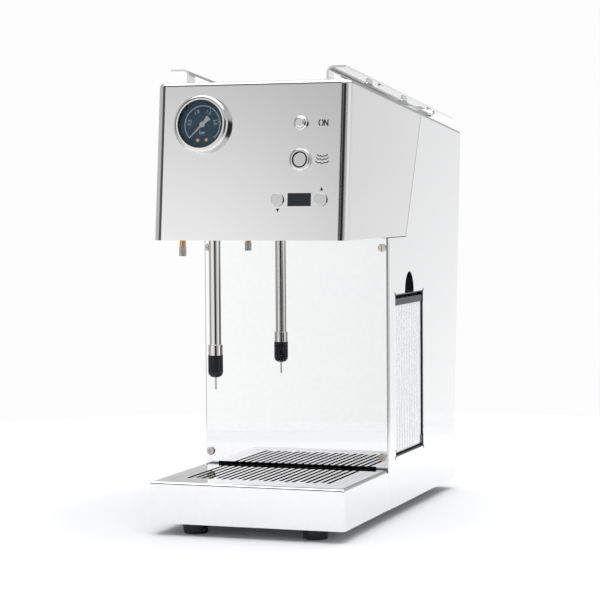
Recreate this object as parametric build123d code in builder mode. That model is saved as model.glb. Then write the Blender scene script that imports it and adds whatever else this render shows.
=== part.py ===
"""Compact steam machine for frothing milk: sheet-steel housing, boiler, pump, tank and steam wand.

Frame: origin under the middle of the machine on the surface it stands on, X to the right,
Y towards the back, Z up.  The front faces -Y.  Millimetres.
"""

import os
from math import atan2, cos, hypot, radians, sin, sqrt, tan

from build123d import *

os.makedirs("parts", exist_ok=True)

# ---------------------------------------------------------------- driving dimensions
# housing
body_width = 190.0
overall_depth = 414.8
foot_height = 11.0
tray_height = 39.0
work_height = 223.2
hood_height = 146.0
top_fall = 38.6
hood_set_back = 11.6
hood_front_lean = 15.1
plate_set_back = 139.2
rear_lean = 33.5
seam_low_set_back = 198.2
seam_top_set_back = 255.8
sheet = 1.5
seam_gap = 0.7
corner_radius = 9.0
rear_radius = 8.0
front_edge_radius = 2.0
top_edge_radius = 4.0
rim_width = 13.0
rim_front = 9.0
rim_rear = 6.5
flange_width = 12.0
hood_front_flange = 145.0
plate_sheet = 1.2
plate_low_gap = 2.4
plate_screw_x = 89.0
plate_screw_inset = 9.5

# cup rails
rail_leg_x = 68.6
rail_outer_x = 86.0
rail_height = 14.2
rail_sheet = 2.0
rail_bend = 5.5
rail_foot_bend = 2.0
rail_front_gap = 11.4
rail_length = 372.0
rail_post = 15.0
rail_windows = 3
rail_window_low = 4.4
rail_window_height = 6.8
rail_foot_width = 12.0
vent_width = 3.2
vent_length = 34.0
vent_pitch_x = 9.0
vent_pitch_y = 58.0
vent_columns = 11
vent_rows = 5
rear_vent_up = 205.0
rear_vent_pitch_x = 11.7
rear_vent_pitch_y = 44.0
rear_vent_rows = 4
rear_vent_columns = 11

# drip tray and grille
tray_sheet = 1.5
tray_rim = 15.0
tray_front_rim = 17.0
tray_back_rim = 2.5
tray_back_gap = 7.0
tray_floor_rise = 4.5
tray_edge_radius = 3.0
tray_skirt_gap = 0.3
tray_ear_top = 4.0
tray_ear_height = 15.0
seal_drop = 0.5
grille_sheet = 1.5
grille_ledge = 4.0
slot_pitch = 6.9
slot_width = 3.6
slot_count = 21
slot_length = 96.0
slot_stagger = 5.0
slot_back_margin = 3.0

# water tank and its window
tank_width = 94.6
tank_height = 149.6
tank_depth = 0.8 * body_width
tank_wall = 2.5
tank_middle_set_back = 210.5
tank_bottom_z = 61.3
tank_recess = 1.5
tank_side_gap = 2.7
tank_top_gap = 7.7
tank_bottom_gap = 3.3
tank_corner_radius = 4.0
flute_pitch = 8.75
flute_count = 9
flute_radius = 6.0
flute_depth = 0.7
flute_margin = 6.0
window_flange = 6.0
window_sheet = 1.2
relief_radius = 1.6
notch_width = 31.0
notch_rise = 19.5
bay_wall_height = 40.0

# front controls, measured from the top edge of the sloping fascia
gauge_x = -47.3
gauge_down = 39.8
gauge_diameter = 53.6
gauge_stand = 8.2
gauge_lip = 4.5
gauge_case_diameter = 50.0
gauge_case_depth = 24.0
gauge_wall = 1.2
dial_stand = 1.7
dial_thickness = 0.8
glass_thickness = 1.8
glass_stand = 4.6
pointer_length = 17.5
pointer_tail = 9.0
pointer_arbor = 1.6
control_x = 48.5
power_down = 39.6
power_diameter = 12.8
power_stand = 6.2
power_bezel_stand = 3.2
power_cap_diameter = 9.8
power_travel = 2.5
steam_down = 73.2
steam_diameter = 21.2
steam_stand = 2.4
steam_ring_diameter = 15.0
steam_cap_diameter = 12.2
steam_travel = 1.5
switch_body_length = 24.0
display_down = 109.5
display_width = 22.6
display_height = 12.0
key_pitch = 41.7
key_diameter = 11.7
key_stand = 2.3
key_travel = 1.2
board_depth = 14.0
board_sheet = 1.6
board_width = 66.0
board_height = 30.0
spacer_diameter = 5.0

# steam wand and drain outlet
wand_set_back = 48.3
ball_rise = 11.5
ball_radius = 9.5
ball_gap = 0.35
wand_tilt = 20.0
wand_diameter = 10.9
wand_bore = 7.2
wand_tube_end = 164.6
collar_length = 10.2
collar_diameter = 13.4
tip_length = 20.8
tip_diameter = 14.0
tip_socket = 6.6
probe_diameter = 1.9
probe_stand = 12.0
nut_diameter = 30.0
nut_flange_diameter = 38.0
drain_x = -81.0
drain_set_back = 51.9
drain_stem_diameter = 5.6
drain_spigot_diameter = 4.0
drain_nut_width = 7.4
drain_nut_low = 257.4
drain_nut_length = 9.0

# inside
boiler_diameter = 100.0
boiler_length = 150.0
boiler_wall = 2.0
boiler_y = 92.0
boiler_z = 304.0
shelf_z = 244.0
shelf_front_y = -40.0
shelf_back_y = 162.0
shelf_half_width = 88.0
front_leg_y = 60.0
pump_width = 36.0
pump_length = 80.0
pump_nose_diameter = 14.0
pump_nose_length = 18.0
pump_y = 108.0
pump_mount_height = 8.0
valve_x = -15.0
valve_set_back = 89.4
valve_z = 342.0
valve_width = 28.0
pipe_diameter = 5.0
pipe_bend = 9.0
hose_diameter = 10.0
hose_bend = 14.0
foot_x = 59.2
foot_set_back = 24.5
rear_foot_inset = 40.0
foot_diameter = 25.0
foot_low_diameter = 22.0
inlet_x = 45.0
inlet_up = 52.0
inlet_width = 48.0
inlet_height = 27.5
inlet_depth = 17.0
inlet_flange_width = 62.0
inlet_flange_height = 32.0
rear_screw_x = 75.0
rear_screw_up = 9.0
floor_flange = 15.0

# fasteners
screw_diameter = 4.0
screw_head_diameter = 8.0
screw_head_height = 2.4
small_screw_diameter = 3.0
small_head_diameter = 5.6
small_head_height = 1.8
screw_length = 8.0
hole_gap = 0.1

# clearances
slide_gap = 0.3
shaft_gap = 0.05
key_gap = 0.3
curve_gap = 0.3

# ---------------------------------------------------------------- derived places
half_width = body_width / 2
inner_half = half_width - sheet
front_y = -overall_depth / 2
base_z = foot_height
plate_top_z = base_z + sheet
tray_top_z = base_z + tray_height
hood_low_z = tray_top_z + work_height
hood_top_z = hood_low_z + hood_height
rear_top_z = hood_top_z - top_fall
hood_low_y = front_y + hood_set_back
hood_top_y = hood_low_y + hood_front_lean
plate_y = front_y + plate_set_back
seam_low_y = front_y + seam_low_set_back
seam_top_y = front_y + seam_top_set_back
shell_front_y = plate_y + plate_sheet + curve_gap


def inset(points, distances):
    """Moves each side of a clockwise outline inwards by its own distance and meets them again."""
    lines = []
    for (a, b), distance in zip(zip(points, points[1:] + points[:1]), distances):
        length = hypot(b[0] - a[0], b[1] - a[1])
        along = ((b[0] - a[0]) / length, (b[1] - a[1]) / length)
        lines.append(((a[0] + along[1] * distance, a[1] - along[0] * distance), along))
    corners = []
    for (p, u), (q, v) in zip(lines[-1:] + lines[:-1], lines):
        cross = u[0] * v[1] - u[1] * v[0]
        reach = ((q[0] - p[0]) * v[1] - (q[1] - p[1]) * v[0]) / cross
        corners.append((p[0] + u[0] * reach, p[1] + u[1] * reach))
    return corners


# the rounded rear top edge, not its sharp corner, reaches the overall depth
sharp_y = front_y + overall_depth
trial = [(hood_top_y, hood_top_z), (sharp_y, rear_top_z), (sharp_y - rear_lean, base_z)]
rear_top_y = 2 * sharp_y - inset(trial, [top_edge_radius] * 3)[1][0] - top_edge_radius
rear_low_y = rear_top_y - rear_lean
top_slope = atan2(top_fall, rear_top_y - hood_top_y)
front_tilt = atan2(hood_front_lean, hood_height)
rear_tilt = atan2(rear_lean, rear_top_z - base_z)
roof_length = hypot(top_fall, rear_top_y - hood_top_y)

fascia = Plane((0, hood_top_y, hood_top_z), x_dir=(1, 0, 0), z_dir=(0, -cos(front_tilt), sin(front_tilt)))
rear = Plane((0, rear_low_y, base_z), x_dir=(-1, 0, 0), z_dir=(0, cos(rear_tilt), -sin(rear_tilt)))
roof = Plane((0, hood_top_y, hood_top_z), x_dir=(1, 0, 0), z_dir=(0, sin(top_slope), cos(top_slope)))

wand_x = gauge_x
wand_y = front_y + wand_set_back
ball_z = hood_low_z + ball_rise
drain_y = front_y + drain_set_back
valve_y = front_y + valve_set_back
floor_low_z = hood_low_z + sheet
floor_top_z = floor_low_z + sheet
tank_y = front_y + tank_middle_set_back
plate_low_z = tray_top_z + plate_low_gap
plate_high_z = hood_low_z - seam_gap
plate_screw_pitch = plate_high_z - plate_low_z - 2 * plate_screw_inset
key_x = (control_x - key_pitch / 2, control_x + key_pitch / 2)
key_hole = key_diameter / 2 + key_gap
power_barrel = power_cap_diameter / 2 + 0.9
steam_barrel = steam_ring_diameter / 2 + 1.5
gauge_hole = gauge_case_diameter / 2 + key_gap
screw_hole = screw_diameter / 2 + hole_gap
small_hole = small_screw_diameter / 2 + hole_gap


def top_z(y):
    """Height of the sloping top at a place along the depth."""
    return hood_top_z - (y - hood_top_y) * tan(top_slope)


def nearest_edges(shape, *places):
    """The edge of a solid whose middle is nearest to each place."""
    return [min(shape.edges(), key=lambda e, p=place: (e.center() - Vector(*p)).length) for place in places]


def both_sides(x, place):
    """A place on a side outline, on the right and on the left."""
    return ((x, *place), (-x, *place))


def middle(a, b):
    """Point half way between two points of a side outline."""
    return ((a[0] + b[0]) / 2, (a[1] + b[1]) / 2)


def finish(builder, label):
    """Labels a finished piece and writes its file."""
    builder.part.label = label
    export_step(builder.part, f"parts/{label}.step")


# ---------------------------------------------------------------- hood
past_edge = -20.0
hood_outline = [
    (hood_low_y, hood_low_z),
    (hood_top_y, hood_top_z),
    (seam_top_y, top_z(seam_top_y)),
    (seam_low_y, hood_low_z),
]
hood_inside = inset(hood_outline, [sheet, sheet, past_edge, past_edge])

with BuildPart() as hood_core:
    with BuildSketch(Plane.YZ):
        with BuildLine():
            Polyline(*hood_inside, close=True)
        make_face()
    extrude(amount=inner_half, both=True)
    front_edges = nearest_edges(hood_core.part, *both_sides(inner_half, middle(*hood_inside[0:2])))
    fillet(front_edges, radius=corner_radius - sheet)
    roof_edges = nearest_edges(hood_core.part, *both_sides(inner_half, middle(*hood_inside[1:3])))
    fillet(roof_edges, radius=top_edge_radius - sheet)

with BuildPart() as front_hood:
    with BuildSketch(Plane.YZ):
        with BuildLine():
            Polyline(*hood_outline, close=True)
        make_face()
    extrude(amount=half_width, both=True)
    front_edges = nearest_edges(front_hood.part, *both_sides(half_width, middle(*hood_outline[0:2])))
    fillet(front_edges, radius=corner_radius)
    roof_face = front_hood.faces().sort_by(Axis.Z)[-1]
    fillet([edge for edge in roof_face.edges() if edge.center().Y < seam_top_y - 1], radius=top_edge_radius)
    add(hood_core.part, mode=Mode.SUBTRACT)
    with BuildSketch(roof):
        with Locations((0, rim_front)):
            Rectangle(body_width - 2 * rim_width, roof_length, align=(Align.CENTER, Align.MIN))
    extrude(amount=-top_edge_radius, mode=Mode.SUBTRACT)
    side_flange_front = hood_low_y + corner_radius + rim_front
    with BuildSketch(Plane.XY.offset(hood_low_z)):
        with Locations((0, hood_low_y + sheet / 2)):
            Rectangle(hood_front_flange, flange_width, align=(Align.CENTER, Align.MIN))
        for side in (1, -1):
            with Locations((side * (half_width - sheet / 2), side_flange_front)):
                Rectangle(
                    flange_width,
                    plate_y - 3 - side_flange_front,
                    align=(Align.MAX if side > 0 else Align.MIN, Align.MIN),
                )
    extrude(amount=sheet)
    with BuildSketch(Plane.XY.offset(hood_low_z)):
        with Locations((drain_x, drain_y)):
            Circle(drain_stem_diameter / 2 + hole_gap)
    extrude(amount=sheet, mode=Mode.SUBTRACT)
    with BuildSketch(fascia):
        with Locations((gauge_x, -gauge_down)):
            Circle(gauge_hole)
        with Locations((control_x, -power_down)):
            Circle(power_barrel + hole_gap)
        with Locations((control_x, -steam_down)):
            Circle(steam_barrel + hole_gap)
        with Locations(*[(x, -display_down) for x in key_x]):
            Circle(key_hole)
        with Locations((control_x, -display_down)):
            Rectangle(display_width, display_height)
    extrude(amount=-2 * sheet, mode=Mode.SUBTRACT)
finish(front_hood, "front_hood")

# ---------------------------------------------------------------- rear shell
seam_shift = seam_gap / cos(atan2(seam_top_y - seam_low_y, top_z(seam_top_y) - hood_low_z))
shell_outline = [
    (shell_front_y, base_z),
    (shell_front_y, hood_low_z - seam_gap),
    (seam_low_y + seam_shift, hood_low_z - seam_gap),
    (seam_top_y + seam_shift, top_z(seam_top_y + seam_shift)),
    (rear_top_y, rear_top_z),
    (rear_low_y, base_z),
]
shell_inside = inset(shell_outline, [sheet, past_edge, past_edge, sheet, sheet, past_edge])
window_width = tank_width + 2 * tank_side_gap
window_low = tank_bottom_z - tank_bottom_gap
window_top = tank_bottom_z + tank_height + tank_top_gap
window_height = window_top - window_low
window_middle_z = (window_low + window_top) / 2

with BuildPart() as shell_core:
    with BuildSketch(Plane.YZ):
        with BuildLine():
            Polyline(*shell_inside, close=True)
        make_face()
    extrude(amount=inner_half, both=True)
    rear_edges = nearest_edges(shell_core.part, *both_sides(inner_half, middle(*shell_inside[4:6])))
    fillet(rear_edges, radius=rear_radius - sheet)
    roof_edges = nearest_edges(shell_core.part, *both_sides(inner_half, middle(*shell_inside[3:5])))
    fillet(roof_edges, radius=top_edge_radius - sheet)

with BuildPart() as rear_shell:
    with BuildSketch(Plane.YZ):
        with BuildLine():
            Polyline(*shell_outline, close=True)
        make_face()
    extrude(amount=half_width, both=True)
    rear_edges = nearest_edges(rear_shell.part, *both_sides(half_width, middle(*shell_outline[4:6])))
    fillet(rear_edges, radius=rear_radius)
    roof_face = rear_shell.faces().sort_by(Axis.Z)[-1]
    fillet([edge for edge in roof_face.edges() if edge.center().Y > seam_top_y + 5], radius=top_edge_radius)
    front_edges = nearest_edges(rear_shell.part, *both_sides(half_width, middle(*shell_outline[0:2])))
    fillet(front_edges, radius=front_edge_radius)
    add(shell_core.part, mode=Mode.SUBTRACT)
    # opening behind the mirror plate
    with BuildSketch(Plane.XZ.offset(-shell_front_y)):
        with Locations((0, base_z)):
            Rectangle(2 * (inner_half - flange_width), hood_low_z, align=(Align.CENTER, Align.MIN))
    extrude(amount=-2 * sheet, mode=Mode.SUBTRACT)
    # roof opening
    with BuildSketch(roof):
        with Locations((0, roof_length - rim_rear)):
            Rectangle(body_width - 2 * rim_width, roof_length, align=(Align.CENTER, Align.MAX))
    extrude(amount=-top_edge_radius, mode=Mode.SUBTRACT)
    # tank window with its folded edge, corner reliefs and finger notch
    with BuildSketch(Plane.YZ.offset(half_width)):
        with Locations((tank_y, window_middle_z)):
            Rectangle(window_width, window_height)
    extrude(amount=-2 * sheet, mode=Mode.SUBTRACT)
    with BuildSketch(Plane.YZ.offset(half_width)):
        with Locations((tank_y, window_middle_z)):
            Rectangle(window_width, window_height)
            Rectangle(window_width - 2 * window_sheet, window_height - 2 * window_sheet, mode=Mode.SUBTRACT)
    extrude(amount=-window_flange)
    with BuildSketch(Plane.YZ.offset(half_width)):
        with Locations((tank_y, window_middle_z)):
            with GridLocations(window_width - window_sheet, window_height - window_sheet, 2, 2):
                Circle(relief_radius)
        with Locations((tank_y, window_top - window_sheet)):
            Ellipse(notch_width / 2, notch_rise + window_sheet)
        with Locations((tank_y, window_top - window_sheet)):
            Rectangle(notch_width + 2, notch_rise + 4, align=(Align.CENTER, Align.MAX), mode=Mode.SUBTRACT)
    extrude(amount=-window_flange - 1, mode=Mode.SUBTRACT)
    # vents, power inlet and screw holes in the rear panel
    with BuildSketch(rear):
        with Locations((0, rear_vent_up)):
            with GridLocations(rear_vent_pitch_x, rear_vent_pitch_y, rear_vent_columns, rear_vent_rows):
                SlotOverall(vent_length, vent_width, rotation=90)
        with Locations((inlet_x, inlet_up)):
            Rectangle(inlet_width, inlet_height)
        with Locations((0, rear_screw_up)):
            with GridLocations(2 * rear_screw_x, 0, 2, 1):
                Circle(screw_hole)
    extrude(amount=-2 * sheet, mode=Mode.SUBTRACT)
    # holes for the mirror plate's screws in the front flanges
    with BuildSketch(Plane.XZ.offset(-shell_front_y)):
        with Locations((0, (plate_low_z + plate_high_z) / 2)):
            with GridLocations(2 * plate_screw_x, plate_screw_pitch, 2, 2):
                Circle(screw_hole)
    extrude(amount=-2 * sheet, mode=Mode.SUBTRACT)
finish(rear_shell, "rear_shell")

# ---------------------------------------------------------------- top plate and cup rails
rail_foot_middle = rail_leg_x - (rail_foot_width + rail_sheet) / 2
rail_screw_places = [rail_front_gap + rail_post / 2, rail_front_gap + rail_length / 2]
rail_screw_places.append(rail_front_gap + rail_length - rail_post / 2)
rail_window_length = (rail_length - (rail_windows + 1) * rail_post) / rail_windows
rail_full_height = rail_height + sheet
top_plate_margin = top_edge_radius + 1

with BuildPart() as top_plate:
    with BuildSketch(roof.offset(-sheet)):
        with Locations((0, top_plate_margin)):
            Rectangle(
                body_width - 2 * top_plate_margin,
                roof_length - 2 * top_plate_margin,
                align=(Align.CENTER, Align.MIN),
            )
        fillet(vertices().group_by(Axis.Y)[0], radius=corner_radius)
        with Locations((0, roof_length / 2)):
            with GridLocations(vent_pitch_x, vent_pitch_y, vent_columns, vent_rows):
                SlotOverall(vent_length, vent_width, rotation=90, mode=Mode.SUBTRACT)
        with Locations(*[(x, y) for x in (-rail_foot_middle, rail_foot_middle) for y in rail_screw_places]):
            Circle(small_hole, mode=Mode.SUBTRACT)
    extrude(amount=-sheet)
finish(top_plate, "top_plate")

rail_origin = roof.from_local_coords((0, rail_front_gap, -sheet))
rail_section = Plane(rail_origin, x_dir=(1, 0, 0), z_dir=-roof.y_dir)
rail_flat = Plane(rail_origin, x_dir=(1, 0, 0), z_dir=roof.z_dir)


def make_rail(side, label):
    """One cup rail: a foot turned inwards, a windowed web and a flange turned outwards."""
    half_sheet = rail_sheet / 2
    web = Plane(rail_origin + Vector(side * rail_leg_x, 0, 0), x_dir=roof.y_dir, z_dir=(1, 0, 0))
    with BuildPart() as rail:
        with BuildSketch(rail_section):
            with BuildLine() as path:
                FilletPolyline(
                    (side * (rail_leg_x - rail_foot_width), half_sheet),
                    (side * rail_leg_x, half_sheet),
                    (side * rail_leg_x, rail_full_height - half_sheet),
                    (side * rail_outer_x, rail_full_height - half_sheet),
                    radius=(rail_foot_bend, rail_bend),
                )
            trace(path.edges(), line_width=rail_sheet)
        extrude(amount=-rail_length)
        with BuildSketch(web):
            for index in range(rail_windows):
                low = rail_post + index * (rail_window_length + rail_post)
                with Locations((low + rail_window_length / 2, rail_window_low + rail_window_height / 2)):
                    RectangleRounded(rail_window_length, rail_window_height, rail_foot_bend)
        extrude(amount=rail_sheet, both=True, mode=Mode.SUBTRACT)
        with BuildSketch(rail_flat):
            with Locations(*[(side * rail_foot_middle, y - rail_front_gap) for y in rail_screw_places]):
                Circle(small_hole)
        extrude(amount=rail_sheet, mode=Mode.SUBTRACT)
    finish(rail, label)


make_rail(1, "cup_rail_right")
make_rail(-1, "cup_rail_left")


def pan_screws(plane, places, diameter, head_diameter, head_height, length):
    """Pan-head cross-recess screws standing on a plane at the given places."""
    with BuildPart() as screws:
        with BuildSketch(plane):
            with Locations(*places):
                Circle(head_diameter / 2)
        extrude(amount=head_height)
        crowns = screws.faces().sort_by(Axis(plane.origin, plane.z_dir))[-len(places) :]
        fillet(crowns.edges(), radius=head_height * 0.4)
        with BuildSketch(plane.offset(head_height)):
            with Locations(*places):
                Rectangle(head_diameter * 0.55, head_diameter * 0.14)
                Rectangle(head_diameter * 0.14, head_diameter * 0.55)
        extrude(amount=-head_height * 0.6, mode=Mode.SUBTRACT)
        with BuildSketch(plane):
            with Locations(*places):
                Circle(diameter / 2)
        extrude(amount=-length)
    return screws.part


with BuildPart() as rail_screws:
    add(
        pan_screws(
            rail_flat.offset(rail_sheet),
            [
                (x, y - rail_front_gap)
                for x in (-rail_foot_middle, rail_foot_middle)
                for y in rail_screw_places
            ],
            small_screw_diameter,
            small_head_diameter,
            small_head_height,
            rail_sheet + sheet + 2,
        )
    )
finish(rail_screws, "rail_screws")

# ---------------------------------------------------------------- mirror plate behind the work space
plate_face = Plane.XZ.offset(-plate_y)
with BuildPart() as back_plate:
    with BuildSketch(plate_face):
        with Locations((0, plate_low_z)):
            Rectangle(
                body_width - 2 * front_edge_radius,
                plate_high_z - plate_low_z,
                align=(Align.CENTER, Align.MIN),
            )
        with Locations((0, plate_high_z)):
            Rectangle(
                2 * (inner_half - flange_width),
                floor_low_z - plate_high_z,
                align=(Align.CENTER, Align.MIN),
            )
        with Locations((0, (plate_low_z + plate_high_z) / 2)):
            with GridLocations(2 * plate_screw_x, plate_screw_pitch, 2, 2):
                Circle(screw_hole, mode=Mode.SUBTRACT)
    extrude(amount=-plate_sheet)
finish(back_plate, "back_plate")

# ---------------------------------------------------------------- floor of the hood
hood_floor_front = hood_low_y + 2 * sheet
valve_half = valve_width / 2
valve_low_z = valve_z - valve_half + 2
valve_high_z = valve_z + valve_half - 2
bracket_width = 24.0
with BuildPart() as hood_floor:
    with BuildSketch(Plane.XY.offset(floor_low_z)):
        with Locations((0, hood_floor_front)):
            Rectangle(
                2 * (inner_half - slide_gap),
                shell_front_y - hood_floor_front,
                align=(Align.CENTER, Align.MIN),
            )
        fillet(vertices().group_by(Axis.Y)[0], radius=corner_radius)
        with Locations((wand_x, wand_y)):
            Circle(ball_radius + sheet, mode=Mode.SUBTRACT)
        with Locations((drain_x, drain_y)):
            Circle(drain_stem_diameter / 2 + hole_gap, mode=Mode.SUBTRACT)
    extrude(amount=sheet)
    # bracket that carries the steam valve
    with BuildSketch(Plane.YZ.offset(valve_x)):
        with Locations((valve_y, floor_top_z)):
            Rectangle(sheet, valve_low_z - floor_top_z, align=(Align.CENTER, Align.MIN))
        with Locations((valve_y, valve_low_z)):
            Rectangle(valve_width, sheet, align=(Align.CENTER, Align.MAX))
    extrude(amount=bracket_width / 2, both=True)
finish(hood_floor, "hood_floor")

# ---------------------------------------------------------------- chassis plate, tray stop and seal
foot_places = [(side * foot_x, front_y + foot_set_back) for side in (-1, 1)]
foot_places += [(side * foot_x, rear_low_y - rear_foot_inset) for side in (-1, 1)]
chassis_front = front_y + tray_sheet + tray_skirt_gap
with BuildPart() as chassis_plate:
    with BuildSketch(Plane.XY.offset(base_z)):
        with Locations((0, chassis_front)):
            Rectangle(
                2 * (inner_half - slide_gap),
                shell_front_y - chassis_front,
                align=(Align.CENTER, Align.MIN),
            )
        with Locations((0, shell_front_y + sheet)):
            Rectangle(
                2 * inner_half,
                rear_low_y - rear_radius - shell_front_y - sheet,
                align=(Align.CENTER, Align.MIN),
            )
        with Locations((0, shell_front_y - sheet)):
            Rectangle(
                2 * (inner_half - flange_width),
                rear_low_y - sheet / 2 - shell_front_y,
                align=(Align.CENTER, Align.MIN),
            )
        with Locations(*foot_places):
            Circle(screw_hole, mode=Mode.SUBTRACT)
    extrude(amount=sheet)
    with BuildSketch(Plane.XY.offset(base_z)):
        for side in (1, -1):
            with Locations((side * inner_half, shell_front_y + sheet)):
                Rectangle(
                    sheet,
                    rear_low_y - rear_radius - shell_front_y - sheet,
                    align=(Align.MAX if side > 0 else Align.MIN, Align.MIN),
                )
    extrude(amount=floor_flange)
    with BuildSketch(rear.offset(-sheet)):
        Rectangle(2 * (inner_half - flange_width), floor_flange, align=(Align.CENTER, Align.MIN))
        with Locations((0, rear_screw_up)):
            with GridLocations(2 * rear_screw_x, 0, 2, 1):
                Circle(screw_hole, mode=Mode.SUBTRACT)
    extrude(amount=-sheet)
    # stop behind the drip tray
    with BuildSketch(Plane.YZ):
        with Locations((shell_front_y, base_z)):
            Rectangle(sheet, tray_height - 2 * sheet, align=(Align.MIN, Align.MIN))
    extrude(amount=inner_half - flange_width - slide_gap, both=True)
finish(chassis_plate, "chassis_plate")

with BuildPart() as tray_seal:
    with BuildSketch(Plane.YZ):
        with Locations((shell_front_y, tray_top_z - seal_drop)):
            Rectangle(
                shell_front_y - (plate_y - tray_back_gap + slide_gap),
                tray_height / 4,
                align=(Align.MAX, Align.MAX),
            )
    extrude(amount=inner_half - slide_gap, both=True)
finish(tray_seal, "tray_seal")

# ---------------------------------------------------------------- feet
with BuildPart() as feet:
    for place in foot_places:
        with BuildSketch(Plane.XY.offset(base_z)):
            with Locations(place):
                Circle(foot_diameter / 2)
        with BuildSketch():
            with Locations(place):
                Circle(foot_low_diameter / 2)
        loft()
    fillet(feet.edges().group_by(Axis.Z)[0], radius=sheet)
    with BuildSketch(Plane.XY.offset(base_z)):
        with Locations(*foot_places):
            Circle(screw_diameter / 2 + shaft_gap)
    extrude(amount=-(screw_length - sheet + hole_gap), mode=Mode.SUBTRACT)
finish(feet, "feet")

plate_screw_z = [(plate_low_z + plate_high_z + side * plate_screw_pitch) / 2 for side in (-1, 1)]
plate_screws = [(x, z) for x in (-plate_screw_x, plate_screw_x) for z in plate_screw_z]
screw_sizes = (screw_diameter, screw_head_diameter, screw_head_height, screw_length)
with BuildPart() as housing_screws:
    add(pan_screws(Plane.XY.offset(plate_top_z), foot_places, *screw_sizes))
    add(pan_screws(plate_face, plate_screws, *screw_sizes))
    add(pan_screws(rear, [(x, rear_screw_up) for x in (-rear_screw_x, rear_screw_x)], *screw_sizes))
finish(housing_screws, "housing_screws")

# ---------------------------------------------------------------- drip tray
tray_back_y = plate_y - tray_back_gap
tray_low_z = base_z + tray_skirt_gap
tray_floor_z = plate_top_z + tray_floor_rise
opening_front_y = front_y + tray_front_rim
opening_back_y = tray_back_y - tray_back_rim
opening_width = body_width - 2 * tray_rim
runner_width = 8.0
tray_middle = (opening_front_y + opening_back_y) / 2
tray_inner_half = half_width - tray_sheet
with BuildPart() as drip_tray:
    with BuildSketch(Plane.XY.offset(tray_low_z)):
        with Locations((0, front_y)):
            Rectangle(body_width, tray_back_y - front_y, align=(Align.CENTER, Align.MIN))
    extrude(amount=tray_top_z - tray_low_z)
    top_face = drip_tray.faces().sort_by(Axis.Z)[-1]
    rim_edges = [edge for edge in top_face.edges() if edge.center().Y < tray_back_y - 1]
    fillet(rim_edges, radius=tray_edge_radius)
    front_corners = [(x, front_y, (tray_low_z + tray_top_z) / 2) for x in (-half_width, half_width)]
    fillet(nearest_edges(drip_tray.part, *front_corners), radius=1.2)
    # hollow under the rim, above the floor
    with BuildSketch(Plane.XY.offset(tray_floor_z + tray_sheet)):
        with Locations((0, front_y + tray_sheet)):
            Rectangle(
                2 * tray_inner_half,
                tray_back_y - front_y - 2 * tray_sheet,
                align=(Align.CENTER, Align.MIN),
            )
    extrude(amount=tray_top_z - tray_sheet - tray_floor_z - tray_sheet, mode=Mode.SUBTRACT)
    # space under the floor, for the chassis plate
    with BuildSketch(Plane.XY.offset(tray_low_z)):
        with Locations((0, front_y + tray_sheet)):
            Rectangle(2 * tray_inner_half, tray_back_y - front_y, align=(Align.CENTER, Align.MIN))
    extrude(amount=tray_floor_z - tray_low_z, mode=Mode.SUBTRACT)
    # opening for the grille
    with BuildSketch(Plane.XY.offset(tray_top_z)):
        with Locations((0, opening_front_y)):
            Rectangle(opening_width, opening_back_y - opening_front_y, align=(Align.CENTER, Align.MIN))
    extrude(amount=-2 * tray_sheet, mode=Mode.SUBTRACT)
    # ledge under the grille, hung from the rim
    with BuildSketch(Plane.XY.offset(tray_top_z - grille_sheet - tray_sheet)):
        with Locations((0, tray_middle)):
            Rectangle(opening_width + 2 * tray_sheet, opening_back_y - opening_front_y + 2 * tray_sheet)
            Rectangle(
                opening_width - 2 * grille_ledge,
                opening_back_y - opening_front_y - 2 * grille_ledge,
                mode=Mode.SUBTRACT,
            )
    extrude(amount=tray_sheet)
    # runners and the ends of the skirt beside the seal
    with BuildSketch(Plane.XY.offset(tray_floor_z)):
        with Locations((0, (front_y + tray_back_y) / 2)):
            with GridLocations(foot_x, 0, 2, 1):
                Rectangle(runner_width, tray_back_y - front_y - 2 * tray_front_rim)
    extrude(amount=-(tray_floor_rise - slide_gap))
    for skirt_face in (Plane.YZ.offset(-half_width), Plane.YZ.offset(half_width - tray_sheet)):
        with BuildSketch(skirt_face):
            with BuildLine():
                Polyline(
                    (tray_back_y - sheet, tray_low_z),
                    (shell_front_y - seam_gap, tray_low_z),
                    (shell_front_y - seam_gap, tray_low_z + tray_ear_height),
                    (shell_front_y - tray_ear_top, tray_top_z - tray_edge_radius),
                    (tray_back_y - sheet, tray_top_z - tray_edge_radius),
                    close=True,
                )
            make_face()
        extrude(amount=tray_sheet)
finish(drip_tray, "drip_tray")

slot_back_y = opening_back_y - slide_gap - slot_back_margin
with BuildPart() as drip_grille:
    with BuildSketch(Plane.XY.offset(tray_top_z)):
        with Locations((0, tray_middle)):
            Rectangle(opening_width - 2 * slide_gap, opening_back_y - opening_front_y - 2 * slide_gap)
        for index in range(slot_count):
            slot_x = (index - (slot_count - 1) / 2) * slot_pitch
            length = slot_length - (slot_stagger if index % 3 == 1 else 0)
            with Locations((slot_x, slot_back_y - length / 2)):
                SlotOverall(length, slot_width, rotation=90, mode=Mode.SUBTRACT)
    extrude(amount=-grille_sheet)
finish(drip_grille, "drip_grille")

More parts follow.
